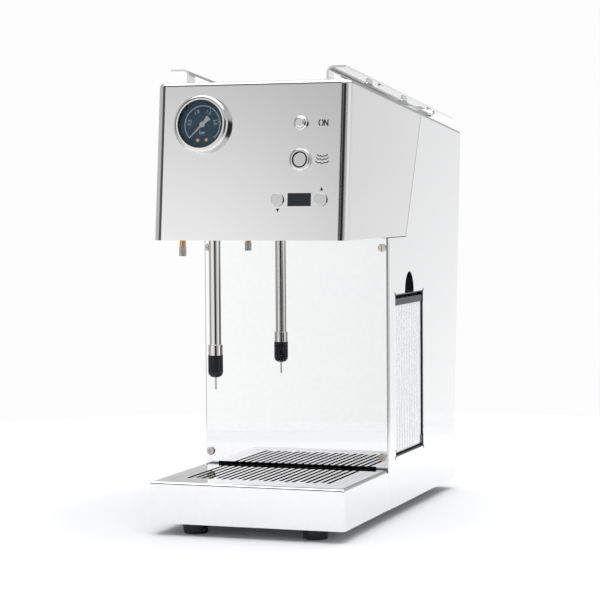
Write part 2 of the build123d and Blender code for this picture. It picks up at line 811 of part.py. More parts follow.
# ---------------------------------------------------------------- water tank and its bay
tank_outer_x = half_width - tank_recess
tank_inner_x = tank_outer_x - tank_depth
tank_top_z = tank_bottom_z + tank_height
outlet_z = tank_bottom_z + 14.0
outlet_radius = 5.0
outlet_bore = 3.0
outlet_length = 14.0
outlet_flange = 8.0
with BuildPart() as water_tank:
    with BuildSketch(Plane.YZ.offset(tank_outer_x)):
        with Locations((tank_y, tank_bottom_z)):
            Rectangle(tank_width, tank_height, align=(Align.CENTER, Align.MIN))
    extrude(amount=-tank_depth)
    fillet(water_tank.edges().filter_by(Axis.Z), radius=tank_corner_radius)
    fillet(water_tank.faces().sort_by(Axis.Z)[0].edges().filter_by(Axis.X), radius=tank_corner_radius - 1)
    with BuildSketch(Plane.XY.offset(tank_top_z)):
        with Locations(((tank_outer_x + tank_inner_x) / 2, tank_y)):
            RectangleRounded(
                tank_depth - 2 * tank_wall,
                tank_width - 2 * tank_wall,
                tank_corner_radius - tank_wall / 2,
            )
    extrude(amount=-(tank_height - tank_wall), mode=Mode.SUBTRACT)
    with BuildSketch(Plane.XY.offset(tank_bottom_z + flute_margin)):
        with Locations((tank_outer_x + flute_radius - flute_depth, tank_y)):
            with GridLocations(0, flute_pitch, 1, flute_count):
                Circle(flute_radius)
    extrude(amount=tank_height - 2 * flute_margin, mode=Mode.SUBTRACT)
    with BuildSketch(Plane.YZ.offset(tank_inner_x)):
        with Locations((tank_y, outlet_z)):
            Circle(outlet_radius + shaft_gap)
    extrude(amount=tank_wall, mode=Mode.SUBTRACT)
finish(water_tank, "water_tank")

with BuildPart() as tank_outlet:
    with BuildSketch(Plane.YZ.offset(tank_inner_x)):
        with Locations((tank_y, outlet_z)):
            Circle(outlet_flange)
    extrude(amount=-sheet)
    with BuildSketch(Plane.YZ.offset(tank_inner_x + tank_wall + 2)):
        with Locations((tank_y, outlet_z)):
            Circle(outlet_radius)
    extrude(amount=-(outlet_length + tank_wall + 2))
    with BuildSketch(Plane.YZ.offset(tank_inner_x + tank_wall + 2)):
        with Locations((tank_y, outlet_z)):
            Circle(outlet_bore)
    extrude(amount=-(outlet_length + tank_wall + 2), mode=Mode.SUBTRACT)
finish(tank_outlet, "tank_outlet")

bay_end_x = tank_inner_x - sheet - slide_gap
bay_front_x = half_width - window_flange - 2
bay_top_z = tank_bottom_z - slide_gap
bay_inner = tank_width / 2 + slide_gap
bay_bottom_z = plate_top_z
with BuildPart() as tank_bay:
    with BuildSketch(Plane.YZ.offset(bay_end_x)):
        for side in (1, -1):
            with Locations((tank_y + side * bay_inner, bay_bottom_z)):
                Rectangle(
                    sheet,
                    bay_top_z + bay_wall_height - bay_bottom_z,
                    align=(Align.MIN if side > 0 else Align.MAX, Align.MIN),
                )
        with Locations((tank_y, bay_top_z)):
            Rectangle(2 * (bay_inner + sheet), sheet, align=(Align.CENTER, Align.MAX))
    extrude(amount=bay_front_x - bay_end_x)
    with BuildSketch(Plane.YZ.offset(bay_end_x)):
        with Locations((tank_y, bay_top_z - sheet)):
            Rectangle(2 * (bay_inner + sheet), bay_wall_height + sheet, align=(Align.CENTER, Align.MIN))
        with Locations((tank_y, outlet_z)):
            Circle(outlet_flange + 1, mode=Mode.SUBTRACT)
    extrude(amount=-sheet)
finish(tank_bay, "tank_bay")

coupling_radius = 11.0
coupling_length = 22.0
coupling_x = bay_end_x - sheet
hose_x = coupling_x - coupling_length + hose_diameter / 2 + 1
barb_length = 9.0
with BuildPart() as tank_coupling:
    with BuildSketch(Plane.YZ.offset(coupling_x)):
        with Locations((tank_y, outlet_z)):
            Circle(coupling_radius)
    extrude(amount=-coupling_length)
    with BuildSketch(Plane.YZ.offset(coupling_x)):
        with Locations((tank_y, outlet_z)):
            Circle(outlet_radius + slide_gap)
    extrude(amount=-outlet_length, mode=Mode.SUBTRACT)
    with BuildSketch(Plane.XZ.offset(-tank_y)):
        with Locations((hose_x, outlet_z)):
            Circle(outlet_radius - sheet)
    extrude(amount=-(coupling_radius + barb_length))
finish(tank_coupling, "tank_coupling")


def make_pipe(label, points, bend, diameter, bore):
    """A bent pipe or hose along straight runs joined by arcs, tighter where a run is short."""
    runs = [(Vector(*end) - Vector(*start)).length for start, end in zip(points, points[1:])]
    room = min(runs[0], runs[-1], *[run / 2 for run in runs[1:-1]])
    with BuildPart() as pipe:
        with BuildLine() as route:
            FilletPolyline(*points, radius=min(bend, 0.99 * room))
        with BuildSketch(Plane(route.line @ 0, z_dir=route.line % 0)):
            Circle(diameter / 2)
            Circle(bore / 2, mode=Mode.SUBTRACT)
        sweep()
    finish(pipe, label)


# ---------------------------------------------------------------- pump
pump_low_z = plate_top_z + pump_mount_height
pump_z = pump_low_z + pump_width / 2
pump_end = pump_length / 2 + pump_nose_length
mount_width = 20.0
with BuildPart() as pump:
    with BuildSketch(Plane.YZ.offset(-pump_length / 2)):
        with Locations((pump_y, pump_z)):
            RectangleRounded(pump_width, pump_width, sheet * 2)
    extrude(amount=pump_length)
    with BuildSketch(Plane.YZ.offset(-pump_end)):
        with Locations((pump_y, pump_z)):
            Circle(pump_nose_diameter / 2)
    extrude(amount=2 * pump_end)
finish(pump, "pump")
with BuildPart() as pump_mounts:
    with BuildSketch(Plane.XY.offset(plate_top_z)):
        with Locations((0, pump_y)):
            with GridLocations(pump_length - mount_width, 0, 2, 1):
                Rectangle(mount_width, pump_width)
    extrude(amount=pump_mount_height)
    fillet(pump_mounts.edges().filter_by(Axis.Z), radius=sheet)
finish(pump_mounts, "pump_mounts")

hose_start = tank_y + coupling_radius + slide_gap
make_pipe(
    "suction_hose",
    [
        (hose_x, hose_start, outlet_z),
        (hose_x, pump_y, outlet_z),
        (hose_x, pump_y, pump_z),
        (-pump_end - slide_gap, pump_y, pump_z),
    ],
    hose_bend,
    hose_diameter,
    2 * (outlet_radius - sheet + shaft_gap),
)

# ---------------------------------------------------------------- boiler and its shelf
boiler_radius = boiler_diameter / 2
feed_x = half_width - sheet - pipe_diameter - 4
feed_y = pump_y
leg_hole_half = shelf_half_width - 14.0
hose_leg_x = hose_x + hose_diameter
saddle_x = 50.0
saddle_sheet = 3.0
saddle_width = 76.0
saddle_height = 40.0
with BuildPart() as boiler_shelf:
    with BuildSketch(Plane.YZ):
        with Locations((shelf_front_y, shelf_z)):
            Rectangle(shelf_back_y - shelf_front_y, sheet, align=(Align.MIN, Align.MAX))
        for leg_y in (front_leg_y, shelf_back_y - sheet):
            with Locations((leg_y, plate_top_z)):
                Rectangle(sheet, shelf_z - plate_top_z, align=(Align.MIN, Align.MIN))
        with Locations((front_leg_y, plate_top_z)):
            Rectangle(flange_width, sheet, align=(Align.MIN, Align.MIN))
        with Locations((shelf_back_y, plate_top_z)):
            Rectangle(flange_width, sheet, align=(Align.MAX, Align.MIN))
    extrude(amount=shelf_half_width, both=True)
    with BuildSketch(Plane.XY.offset(shelf_z)):
        with Locations((feed_x, feed_y)):
            Circle(pipe_diameter)
    extrude(amount=-sheet, mode=Mode.SUBTRACT)
    with BuildSketch(Plane.XZ.offset(-shelf_back_y - 1)):
        with Locations((0, plate_top_z + 2 * flange_width)):
            Rectangle(
                2 * leg_hole_half,
                shelf_z - plate_top_z - 3 * flange_width,
                align=(Align.CENTER, Align.MIN),
            )
    extrude(amount=2 * sheet + 1, mode=Mode.SUBTRACT)
    with BuildSketch(Plane.XY.offset(plate_top_z)):
        with Locations((-shelf_half_width, front_leg_y)):
            Rectangle(
                shelf_half_width + hose_leg_x,
                flange_width,
                align=(Align.MIN, Align.MIN),
            )
    extrude(amount=shelf_z - sheet - plate_top_z, mode=Mode.SUBTRACT)
    # saddles under the boiler
    for x in (-saddle_x, saddle_x):
        with BuildSketch(Plane.YZ.offset(x - saddle_sheet / 2)):
            with Locations((boiler_y, shelf_z)):
                Rectangle(saddle_width, saddle_height, align=(Align.CENTER, Align.MIN))
            with Locations((boiler_y, boiler_z)):
                Circle(boiler_radius + curve_gap, mode=Mode.SUBTRACT)
        extrude(amount=saddle_sheet)
finish(boiler_shelf, "boiler_shelf")

port_radius = 7.0
port_height = 8.0
boiler_top_z = boiler_z + boiler_radius
port_top_z = boiler_top_z + port_height
safety_x = 35.0
element_hole = 24.0
head_radius = boiler_radius / 5
with BuildPart() as boiler_core:
    with BuildSketch(Plane.YZ.offset(boiler_wall - boiler_length / 2)):
        with Locations((boiler_y, boiler_z)):
            Circle(boiler_radius - boiler_wall)
    extrude(amount=boiler_length - 2 * boiler_wall)
    fillet(boiler_core.edges().filter_by(GeomType.CIRCLE), radius=head_radius - boiler_wall)

with BuildPart() as boiler:
    with BuildSketch(Plane.YZ.offset(-boiler_length / 2)):
        with Locations((boiler_y, boiler_z)):
            Circle(boiler_radius)
    extrude(amount=boiler_length)
    fillet(boiler.edges().filter_by(GeomType.CIRCLE), radius=head_radius)
    with BuildSketch(Plane.XY.offset(boiler_z)):
        with Locations(*[(x, boiler_y) for x in (gauge_x, valve_x, safety_x)]):
            Circle(port_radius)
    extrude(amount=boiler_radius + port_height)
    with BuildSketch(Plane.YZ.offset(boiler_length / 2 - boiler_wall)):
        with Locations((feed_y, boiler_z)):
            Circle(port_radius)
    extrude(amount=boiler_wall + sheet * 2)
    add(boiler_core.part, mode=Mode.SUBTRACT)
    with BuildSketch(Plane.YZ.offset(-boiler_length / 2)):
        with Locations((boiler_y, boiler_z)):
            Circle(element_hole)
    extrude(amount=boiler_wall, mode=Mode.SUBTRACT)
finish(boiler, "boiler")

rod_radius = 4.0
rod_spread = 24.0
rod_length = 125.0
terminal_length = 8.0
element_flange = 30.0
element_sheet = 4.0
with BuildPart() as heating_element:
    with BuildSketch(Plane.YZ.offset(-boiler_length / 2)):
        with Locations((boiler_y, boiler_z)):
            Circle(element_flange)
    extrude(amount=-element_sheet)
    with BuildSketch(Plane.YZ.offset(-boiler_length / 2 - element_sheet - terminal_length)):
        with Locations((boiler_y, boiler_z)):
            with GridLocations(rod_spread, 0, 2, 1):
                Circle(rod_radius)
    extrude(amount=element_sheet + terminal_length + rod_length)
    with BuildSketch(Plane.XZ.offset(-boiler_y)):
        with Locations((rod_length - boiler_length / 2 - rod_radius, boiler_z)):
            Circle(rod_radius)
    extrude(amount=rod_spread / 2, both=True)
finish(heating_element, "heating_element")

with BuildPart() as safety_valve:
    with BuildSketch(Plane.XY.offset(port_top_z)):
        with Locations((safety_x, boiler_y)):
            RegularPolygon(port_radius + 1, 6)
    extrude(amount=port_height)
    with BuildSketch(Plane.XY.offset(port_top_z + port_height)):
        with Locations((safety_x, boiler_y)):
            Circle(port_radius - 1.5)
    extrude(amount=port_height)
    fillet(safety_valve.faces().sort_by(Axis.Z)[-1].edges(), radius=sheet)
finish(safety_valve, "safety_valve")

make_pipe(
    "feed_pipe",
    [
        (pump_end + slide_gap, pump_y, pump_z),
        (feed_x, feed_y, pump_z),
        (feed_x, feed_y, boiler_z),
        (boiler_length / 2 + 2 * sheet + slide_gap, feed_y, boiler_z),
    ],
    pipe_bend - 3,
    pipe_diameter,
    pipe_diameter - 2,
)

# ---------------------------------------------------------------- steam valve, wand socket and pipes
coil_radius = 15.0
coil_height = 34.0
with BuildPart() as steam_valve:
    with BuildSketch(Plane.XY.offset(valve_low_z)):
        with Locations((valve_x, valve_y)):
            Rectangle(valve_width, valve_width)
    extrude(amount=valve_high_z - valve_low_z)
    chamfer(steam_valve.edges().filter_by(Axis.Z), length=sheet)
    with BuildSketch(Plane.XY.offset(valve_high_z)):
        with Locations((valve_x, valve_y)):
            Circle(coil_radius)
    extrude(amount=coil_height)
    fillet(steam_valve.faces().sort_by(Axis.Z)[-1].edges(), radius=2 * sheet)
finish(steam_valve, "steam_valve")

seat_half = sqrt((ball_radius + ball_gap) ** 2 - 4.0 ** 2)
seat_low_z = ball_z - 4.0
lip_top_z = seat_low_z - slide_gap
seat_outer = ball_radius + 2.6
seat_top_z = ball_z + ball_radius * 0.75
nut_top_z = seat_top_z + slide_gap
lip_radius = seat_half - 0.1
lip_drop = ball_z - floor_top_z
lip_low_radius = lip_drop * tan(radians(wand_tilt)) + wand_diameter / 2 / cos(radians(wand_tilt)) + 0.3
with BuildPart() as wand_nut:
    with BuildSketch(Plane.XY.offset(floor_top_z)):
        with Locations((wand_x, wand_y)):
            RegularPolygon(nut_diameter / 2 + 1.5, 6)
    extrude(amount=nut_top_z - floor_top_z)
    with BuildSketch(Plane.XY.offset(floor_top_z)):
        with Locations((wand_x, wand_y)):
            Circle(nut_flange_diameter / 2)
    extrude(amount=2.0)
    with BuildSketch(Plane.XY.offset(lip_top_z)):
        with Locations((wand_x, wand_y)):
            Circle(seat_outer + shaft_gap)
    extrude(amount=nut_top_z - lip_top_z, mode=Mode.SUBTRACT)
    with BuildSketch(Plane.XY.offset(floor_top_z)):
        with Locations((wand_x, wand_y)):
            Circle(lip_low_radius)
    with BuildSketch(Plane.XY.offset(lip_top_z)):
        with Locations((wand_x, wand_y)):
            Circle(lip_radius)
    loft(mode=Mode.SUBTRACT)
finish(wand_nut, "wand_nut")

with BuildPart() as wand_seat:
    with BuildSketch(Plane.XY.offset(seat_low_z)):
        with Locations((wand_x, wand_y)):
            Circle(seat_outer)
    extrude(amount=seat_top_z - seat_low_z)
    with Locations((wand_x, wand_y, ball_z)):
        Sphere(ball_radius + ball_gap, mode=Mode.SUBTRACT)
finish(wand_seat, "wand_seat")

socket_top_z = nut_top_z + 24.0
with BuildPart() as wand_socket:
    with BuildSketch(Plane.XY.offset(nut_top_z)):
        with Locations((wand_x, wand_y)):
            Circle(nut_diameter / 2)
            Circle(wand_bore / 2, mode=Mode.SUBTRACT)
    extrude(amount=flange_width / 2)
    with BuildSketch(Plane.XY.offset(nut_top_z + flange_width / 2)):
        with Locations((wand_x, wand_y)):
            Circle(port_radius + 1)
            Circle(wand_bore / 2, mode=Mode.SUBTRACT)
    extrude(amount=socket_top_z - nut_top_z - flange_width / 2)
    with Locations((wand_x, wand_y, ball_z)):
        Sphere(ball_radius + ball_gap, mode=Mode.SUBTRACT)
finish(wand_socket, "wand_socket")

tube_top_z = ball_z - ball_radius / 2 - 0.5
with BuildPart() as wand_ball:
    with Locations((wand_x, wand_y, ball_z)):
        Sphere(ball_radius)
    with BuildSketch(Plane.XY.offset(tube_top_z + shaft_gap)):
        with Locations((wand_x, wand_y)):
            Circle(wand_diameter / 2 + shaft_gap)
    extrude(amount=-ball_radius, mode=Mode.SUBTRACT)
    with BuildSketch(Plane.XY.offset(ball_z + ball_radius)):
        with Locations((wand_x, wand_y)):
            Circle(wand_bore / 2)
    extrude(amount=-2 * ball_radius, mode=Mode.SUBTRACT)
finish(wand_ball, "wand_ball")

tip_low_z = wand_tube_end - tip_length
with BuildPart() as wand_tube:
    with BuildSketch(Plane.XY.offset(wand_tube_end - tip_socket)):
        with Locations((wand_x, wand_y)):
            Circle(wand_diameter / 2)
            Circle(wand_bore / 2, mode=Mode.SUBTRACT)
    extrude(amount=tube_top_z - wand_tube_end + tip_socket)
finish(wand_tube, "wand_tube")

with BuildPart() as wand_collar:
    with BuildSketch(Plane.XY.offset(wand_tube_end)):
        with Locations((wand_x, wand_y)):
            Circle(collar_diameter / 2)
    extrude(amount=collar_length)
    fillet(wand_collar.faces().sort_by(Axis.Z)[-1].edges(), radius=0.8)
    with BuildSketch(Plane.XY.offset(wand_tube_end)):
        with Locations((wand_x, wand_y)):
            Circle(wand_diameter / 2 + shaft_gap)
    extrude(amount=collar_length, mode=Mode.SUBTRACT)
finish(wand_collar, "wand_collar")

with BuildPart() as wand_tip:
    with BuildSketch(Plane.XY.offset(tip_low_z)):
        with Locations((wand_x, wand_y)):
            Circle(tip_diameter / 2)
    extrude(amount=tip_length)
    fillet(wand_tip.faces().sort_by(Axis.Z)[0].edges(), radius=tip_diameter * 0.36)
    with BuildSketch(Plane.XY.offset(wand_tube_end)):
        with Locations((wand_x, wand_y)):
            Circle(wand_diameter / 2 + shaft_gap)
    extrude(amount=-tip_socket, mode=Mode.SUBTRACT)
    with BuildSketch(Plane.XY.offset(tip_low_z)):
        with Locations((wand_x, wand_y)):
            Circle(probe_diameter / 2 + shaft_gap)
    extrude(amount=tip_length, mode=Mode.SUBTRACT)
finish(wand_tip, "wand_tip")

with BuildPart() as temperature_probe:
    with BuildSketch(Plane.XY.offset(tip_low_z - probe_stand)):
        with Locations((wand_x, wand_y)):
            Circle(probe_diameter / 2)
    extrude(amount=probe_stand + tip_length - tip_socket)
    fillet(temperature_probe.faces().sort_by(Axis.Z)[0].edges(), radius=probe_diameter * 0.4)
finish(temperature_probe, "temperature_probe")

make_pipe(
    "wand_pipe",
    [
        (valve_x - valve_half - slide_gap, valve_y, valve_z),
        (wand_x, valve_y, valve_z),
        (wand_x, wand_y, valve_z),
        (wand_x, wand_y, socket_top_z + slide_gap),
    ],
    pipe_bend,
    pipe_diameter,
    pipe_diameter - 2,
)
steam_rise = 12.0
make_pipe(
    "steam_pipe",
    [
        (valve_x, boiler_y, port_top_z + slide_gap),
        (valve_x, boiler_y, port_top_z + steam_rise),
        (valve_x, plate_y, port_top_z + steam_rise),
        (valve_x, plate_y, valve_z),
        (valve_x, valve_y + valve_half + slide_gap, valve_z),
    ],
    pipe_bend,
    pipe_diameter,
    pipe_diameter - 2,
)

# ---------------------------------------------------------------- drain outlet
stem_top_z = floor_top_z + port_height
stem_low_z = drain_nut_low + drain_nut_length
with BuildPart() as drain_stem:
    with BuildSketch(Plane.XY.offset(stem_low_z)):
        with Locations((drain_x, drain_y)):
            Circle(drain_stem_diameter / 2)
    extrude(amount=stem_top_z - stem_low_z)
    with BuildSketch(Plane.XY.offset(floor_top_z)):
        with Locations((drain_x, drain_y)):
            RegularPolygon(drain_stem_diameter, 6)
    extrude(amount=port_height / 2)
    with BuildSketch(Plane.XY.offset(stem_low_z)):
        with Locations((drain_x, drain_y)):
            Circle(drain_spigot_diameter / 2)
    extrude(amount=-drain_nut_length / 2)
    with BuildSketch(Plane.XY.offset(stem_low_z - drain_nut_length / 2)):
        with Locations((drain_x, drain_y)):
            Circle(drain_spigot_diameter / 4)
    extrude(amount=stem_top_z - stem_low_z + drain_nut_length / 2, mode=Mode.SUBTRACT)
finish(drain_stem, "drain_stem")

with BuildPart() as drain_nozzle:
    with BuildSketch(Plane.XY.offset(drain_nut_low)):
        with Locations((drain_x, drain_y)):
            RegularPolygon(drain_nut_width / 2, 8)
            Circle(drain_spigot_diameter / 2 + shaft_gap, mode=Mode.SUBTRACT)
    extrude(amount=drain_nut_length)
finish(drain_nozzle, "drain_nozzle")

exhaust_x = valve_x + 6.0
exhaust_z = valve_low_z + 6.0
exhaust_y = valve_y - valve_half - 14.0
make_pipe(
    "drain_pipe",
    [
        (exhaust_x, valve_y - valve_half - slide_gap, exhaust_z),
        (exhaust_x, exhaust_y, exhaust_z),
        (drain_x, exhaust_y, exhaust_z),
        (drain_x, drain_y, exhaust_z - steam_rise),
        (drain_x, drain_y, stem_top_z + slide_gap),
    ],
    pipe_bend - 3,
    pipe_diameter - 1,
    pipe_diameter - 3,
)

# ---------------------------------------------------------------- pressure gauge
gauge_radius = gauge_case_diameter / 2
gauge_bore = gauge_radius - gauge_wall
stem_length = 14.0
gauge_at = (gauge_x, -gauge_down)
glass_top = glass_stand + glass_thickness
with BuildPart() as gauge_case:
    with BuildSketch(fascia.offset(-gauge_case_depth)):
        with Locations(gauge_at):
            Circle(gauge_radius)
    extrude(amount=gauge_case_depth + glass_stand)
    with BuildSketch(fascia.offset(-gauge_case_depth + gauge_wall)):
        with Locations(gauge_at):
            Circle(gauge_bore)
    extrude(amount=gauge_case_depth + glass_stand, mode=Mode.SUBTRACT)
    with BuildSketch(fascia.offset(-gauge_case_depth)):
        with Locations(gauge_at):
            Circle(port_radius - 1)
    extrude(amount=-stem_length)
finish(gauge_case, "gauge_case")

with BuildPart() as gauge_bezel:
    with BuildSketch(fascia):
        with Locations(gauge_at):
            Circle(gauge_diameter / 2)
    extrude(amount=gauge_stand)
    fillet(gauge_bezel.faces().sort_by(Axis((0, 0, 0), fascia.z_dir))[-1].edges(), radius=3.0)
    with BuildSketch(fascia):
        with Locations(gauge_at):
            Circle(gauge_radius + shaft_gap)
    extrude(amount=glass_top + hole_gap, mode=Mode.SUBTRACT)
    with BuildSketch(fascia):
        with Locations(gauge_at):
            Circle(gauge_diameter / 2 - gauge_lip)
    extrude(amount=gauge_stand, mode=Mode.SUBTRACT)
finish(gauge_bezel, "gauge_bezel")

movement_radius = 11.0
tube_ring = 18.0
movement_low = gauge_wall - gauge_case_depth
dial_low = dial_stand - dial_thickness
arbor_bore = pointer_arbor / 2 + shaft_gap
with BuildPart() as gauge_movement:
    with BuildSketch(fascia.offset(movement_low)):
        with Locations(gauge_at):
            Circle(movement_radius)
    extrude(amount=dial_low - movement_low)
    with BuildSketch(fascia.offset(movement_low)):
        with Locations(gauge_at):
            Circle(tube_ring + sheet)
            Circle(tube_ring - sheet, mode=Mode.SUBTRACT)
            Rectangle(2 * tube_ring, 2 * tube_ring, align=(Align.MIN, Align.MAX), mode=Mode.SUBTRACT)
            Rectangle(2 * tube_ring, 2 * sheet)
    extrude(amount=movement_radius)
    with BuildSketch(fascia.offset(dial_low)):
        with Locations(gauge_at):
            Circle(arbor_bore)
    extrude(amount=-2 * sheet, mode=Mode.SUBTRACT)
finish(gauge_movement, "gauge_movement")

with BuildPart() as gauge_dial:
    with BuildSketch(fascia.offset(dial_low)):
        with Locations(gauge_at):
            Circle(gauge_bore - shaft_gap)
            Circle(arbor_bore, mode=Mode.SUBTRACT)
    extrude(amount=dial_thickness)
finish(gauge_dial, "gauge_dial")

zero_angle = 225.0
pointer_along = fascia.x_dir * cos(radians(zero_angle)) + fascia.y_dir * sin(radians(zero_angle))
gauge_middle = fascia.from_local_coords((gauge_x, -gauge_down, 0))
pointer_plane = Plane(gauge_middle, x_dir=pointer_along, z_dir=fascia.z_dir)
pointer_stand = dial_stand + 0.5
pointer_sheet = 0.6
hub_radius = 2.6
with BuildPart() as gauge_pointer:
    with BuildSketch(pointer_plane.offset(pointer_stand)):
        Circle(hub_radius)
        with BuildLine():
            Polyline((0, -0.9), (pointer_length, -0.35), (pointer_length, 0.35), (0, 0.9), close=True)
        make_face()
        with BuildLine():
            Polyline((0, -0.8), (0, 0.8), (-pointer_tail, 2.6), (-pointer_tail, -2.6), close=True)
        make_face()
    extrude(amount=pointer_sheet)
    with BuildSketch(pointer_plane.offset(dial_low - 2)):
        Circle(pointer_arbor / 2)
    extrude(amount=pointer_stand + pointer_sheet - dial_low + 2)
finish(gauge_pointer, "gauge_pointer")

with BuildPart() as gauge_glass:
    with BuildSketch(fascia.offset(glass_stand)):
        with Locations(gauge_at):
            Circle(gauge_radius)
    extrude(amount=glass_thickness)
finish(gauge_glass, "gauge_glass")

gauge_end = fascia.from_local_coords((gauge_x, -gauge_down, -gauge_case_depth - stem_length))
make_pipe(
    "gauge_pipe",
    [
        (gauge_x, gauge_end.Y + slide_gap, gauge_end.Z),
        (gauge_x, boiler_y, gauge_end.Z),
        (gauge_x, boiler_y, port_top_z + slide_gap),
    ],
    pipe_bend,
    pipe_diameter - 2,
    pipe_diameter - 3.5,
)

# ---------------------------------------------------------------- power button
power_at = (control_x, -power_down)
power_cap = power_cap_diameter / 2
with BuildPart() as power_switch:
    with BuildSketch(fascia):
        with Locations(power_at):
            Circle(power_diameter / 2)
    extrude(amount=power_bezel_stand)
    chamfer(power_switch.faces().sort_by(Axis((0, 0, 0), fascia.z_dir))[-1].edges(), length=0.7)
    with BuildSketch(fascia):
        with Locations(power_at):
            Circle(power_barrel)
    extrude(amount=-switch_body_length)
    with BuildSketch(fascia.offset(power_bezel_stand)):
        with Locations(power_at):
            Circle(power_cap + shaft_gap)
    extrude(amount=-(power_bezel_stand + 2 * power_travel), mode=Mode.SUBTRACT)
finish(power_switch, "power_switch")

with BuildPart() as power_button:
    with BuildSketch(fascia.offset(slide_gap - power_travel)):
        with Locations(power_at):
            Circle(power_cap)
    extrude(amount=power_stand + power_travel - slide_gap)
    fillet(power_button.faces().sort_by(Axis((0, 0, 0), fascia.z_dir))[-1].edges(), radius=1.4)
finish(power_button, "power_button")

# ---------------------------------------------------------------- steam button
steam_at = (control_x, -steam_down)
ring_radius = steam_ring_diameter / 2
steam_cap = steam_cap_diameter / 2
with BuildPart() as steam_switch:
    with BuildSketch(fascia):
        with Locations(steam_at):
            Circle(steam_diameter / 2)
    extrude(amount=steam_stand)
    steam_rim = steam_switch.faces().sort_by(Axis((0, 0, 0), fascia.z_dir))[-1]
    fillet(steam_rim.edges(), radius=steam_stand * 0.85)
    with BuildSketch(fascia):
        with Locations(steam_at):
            Circle(steam_barrel)
    extrude(amount=-switch_body_length)
    with BuildSketch(fascia.offset(steam_stand)):
        with Locations(steam_at):
            Circle(ring_radius + shaft_gap)
    extrude(amount=-(steam_stand + 3 * steam_travel), mode=Mode.SUBTRACT)
finish(steam_switch, "steam_switch")

with BuildPart() as steam_light_ring:
    with BuildSketch(fascia.offset(-3 * steam_travel)):
        with Locations(steam_at):
            Circle(ring_radius)
            Circle(steam_cap + shaft_gap, mode=Mode.SUBTRACT)
    extrude(amount=3 * steam_travel + steam_stand - 0.5)
finish(steam_light_ring, "steam_light_ring")

with BuildPart() as steam_button:
    with BuildSketch(fascia.offset(slide_gap - 2 * steam_travel)):
        with Locations(steam_at):
            Circle(steam_cap)
    extrude(amount=steam_stand + 2 * steam_travel - slide_gap)
    fillet(steam_button.faces().sort_by(Axis((0, 0, 0), fascia.z_dir))[-1].edges(), radius=0.5)
finish(steam_button, "steam_button")

with BuildPart() as switch_nuts:
    for at, barrel in ((power_at, power_barrel), (steam_at, steam_barrel)):
        with BuildSketch(fascia.offset(-sheet)):
            with Locations(at):
                RegularPolygon(barrel + 3.5, 6)
                Circle(barrel + shaft_gap, mode=Mode.SUBTRACT)
        extrude(amount=-2 * sheet)
finish(switch_nuts, "switch_nuts")

# ---------------------------------------------------------------- keys, display and their board
key_cap = key_diameter / 2
key_flange_stand = sheet + slide_gap
key_flange = 1.3
for x, label in zip(key_x, ("down_key", "up_key")):
    with BuildPart() as key:
        with BuildSketch(fascia.offset(-key_flange_stand)):
            with Locations((x, -display_down)):
                Circle(key_cap)
        extrude(amount=key_flange_stand + key_stand)
        fillet(key.faces().sort_by(Axis((0, 0, 0), fascia.z_dir))[-1].edges(), radius=0.4)
        with BuildSketch(fascia.offset(-key_flange_stand)):
            with Locations((x, -display_down)):
                Circle(key_hole + 1)
        extrude(amount=-key_flange)
    finish(key, label)

window_flange_width = 1.6
with BuildPart() as display_window:
    with BuildSketch(fascia.offset(-sheet)):
        with Locations((control_x, -display_down)):
            Rectangle(display_width - 2 * hole_gap, display_height - 2 * hole_gap)
    extrude(amount=sheet)
    with BuildSketch(fascia.offset(-sheet)):
        with Locations((control_x, -display_down)):
            Rectangle(display_width + 2 * window_flange_width, display_height + 2 * window_flange_width)
    extrude(amount=-sheet)
finish(display_window, "display_window")

key_back = key_flange_stand + key_flange + key_travel + slide_gap
spacer_x = board_width - 2 * spacer_diameter
spacer_y = board_height - 2 * spacer_diameter
with BuildPart() as control_board:
    with BuildSketch(fascia.offset(board_sheet - board_depth)):
        with Locations((control_x - key_stand, -display_down)):
            Rectangle(board_width, board_height)
    extrude(amount=-board_sheet)
    with BuildSketch(fascia.offset(board_sheet - board_depth)):
        with Locations(*[(x, -display_down) for x in key_x]):
            Rectangle(spacer_diameter, spacer_diameter)
    extrude(amount=board_depth - board_sheet - key_back)
    with BuildSketch(fascia.offset(board_sheet - board_depth)):
        with Locations((control_x, -display_down)):
            Rectangle(display_width, display_height)
    extrude(amount=board_depth - board_sheet - 2 * sheet)
    with BuildSketch(fascia.offset(-sheet)):
        with Locations((control_x - key_stand, -display_down)):
            with GridLocations(spacer_x, spacer_y, 2, 2):
                Circle(spacer_diameter / 2)
    extrude(amount=-(board_depth - board_sheet - sheet))
finish(control_board, "control_board")

# ---------------------------------------------------------------- control box and power inlet
box_width = 84.0
box_depth = 34.0
box_height = 110.0
box_low_z = 118.0
box_x = 22.0
with BuildPart() as control_box:
    with BuildSketch(Plane.XY.offset(box_low_z)):
        with Locations((box_x, front_leg_y + sheet)):
            Rectangle(box_width, box_depth, align=(Align.CENTER, Align.MIN))
    extrude(amount=box_height)
    fillet(control_box.edges().filter_by(Axis.Z).sort_by(Axis.Y)[-2:], radius=2 * sheet)
finish(control_box, "control_box")

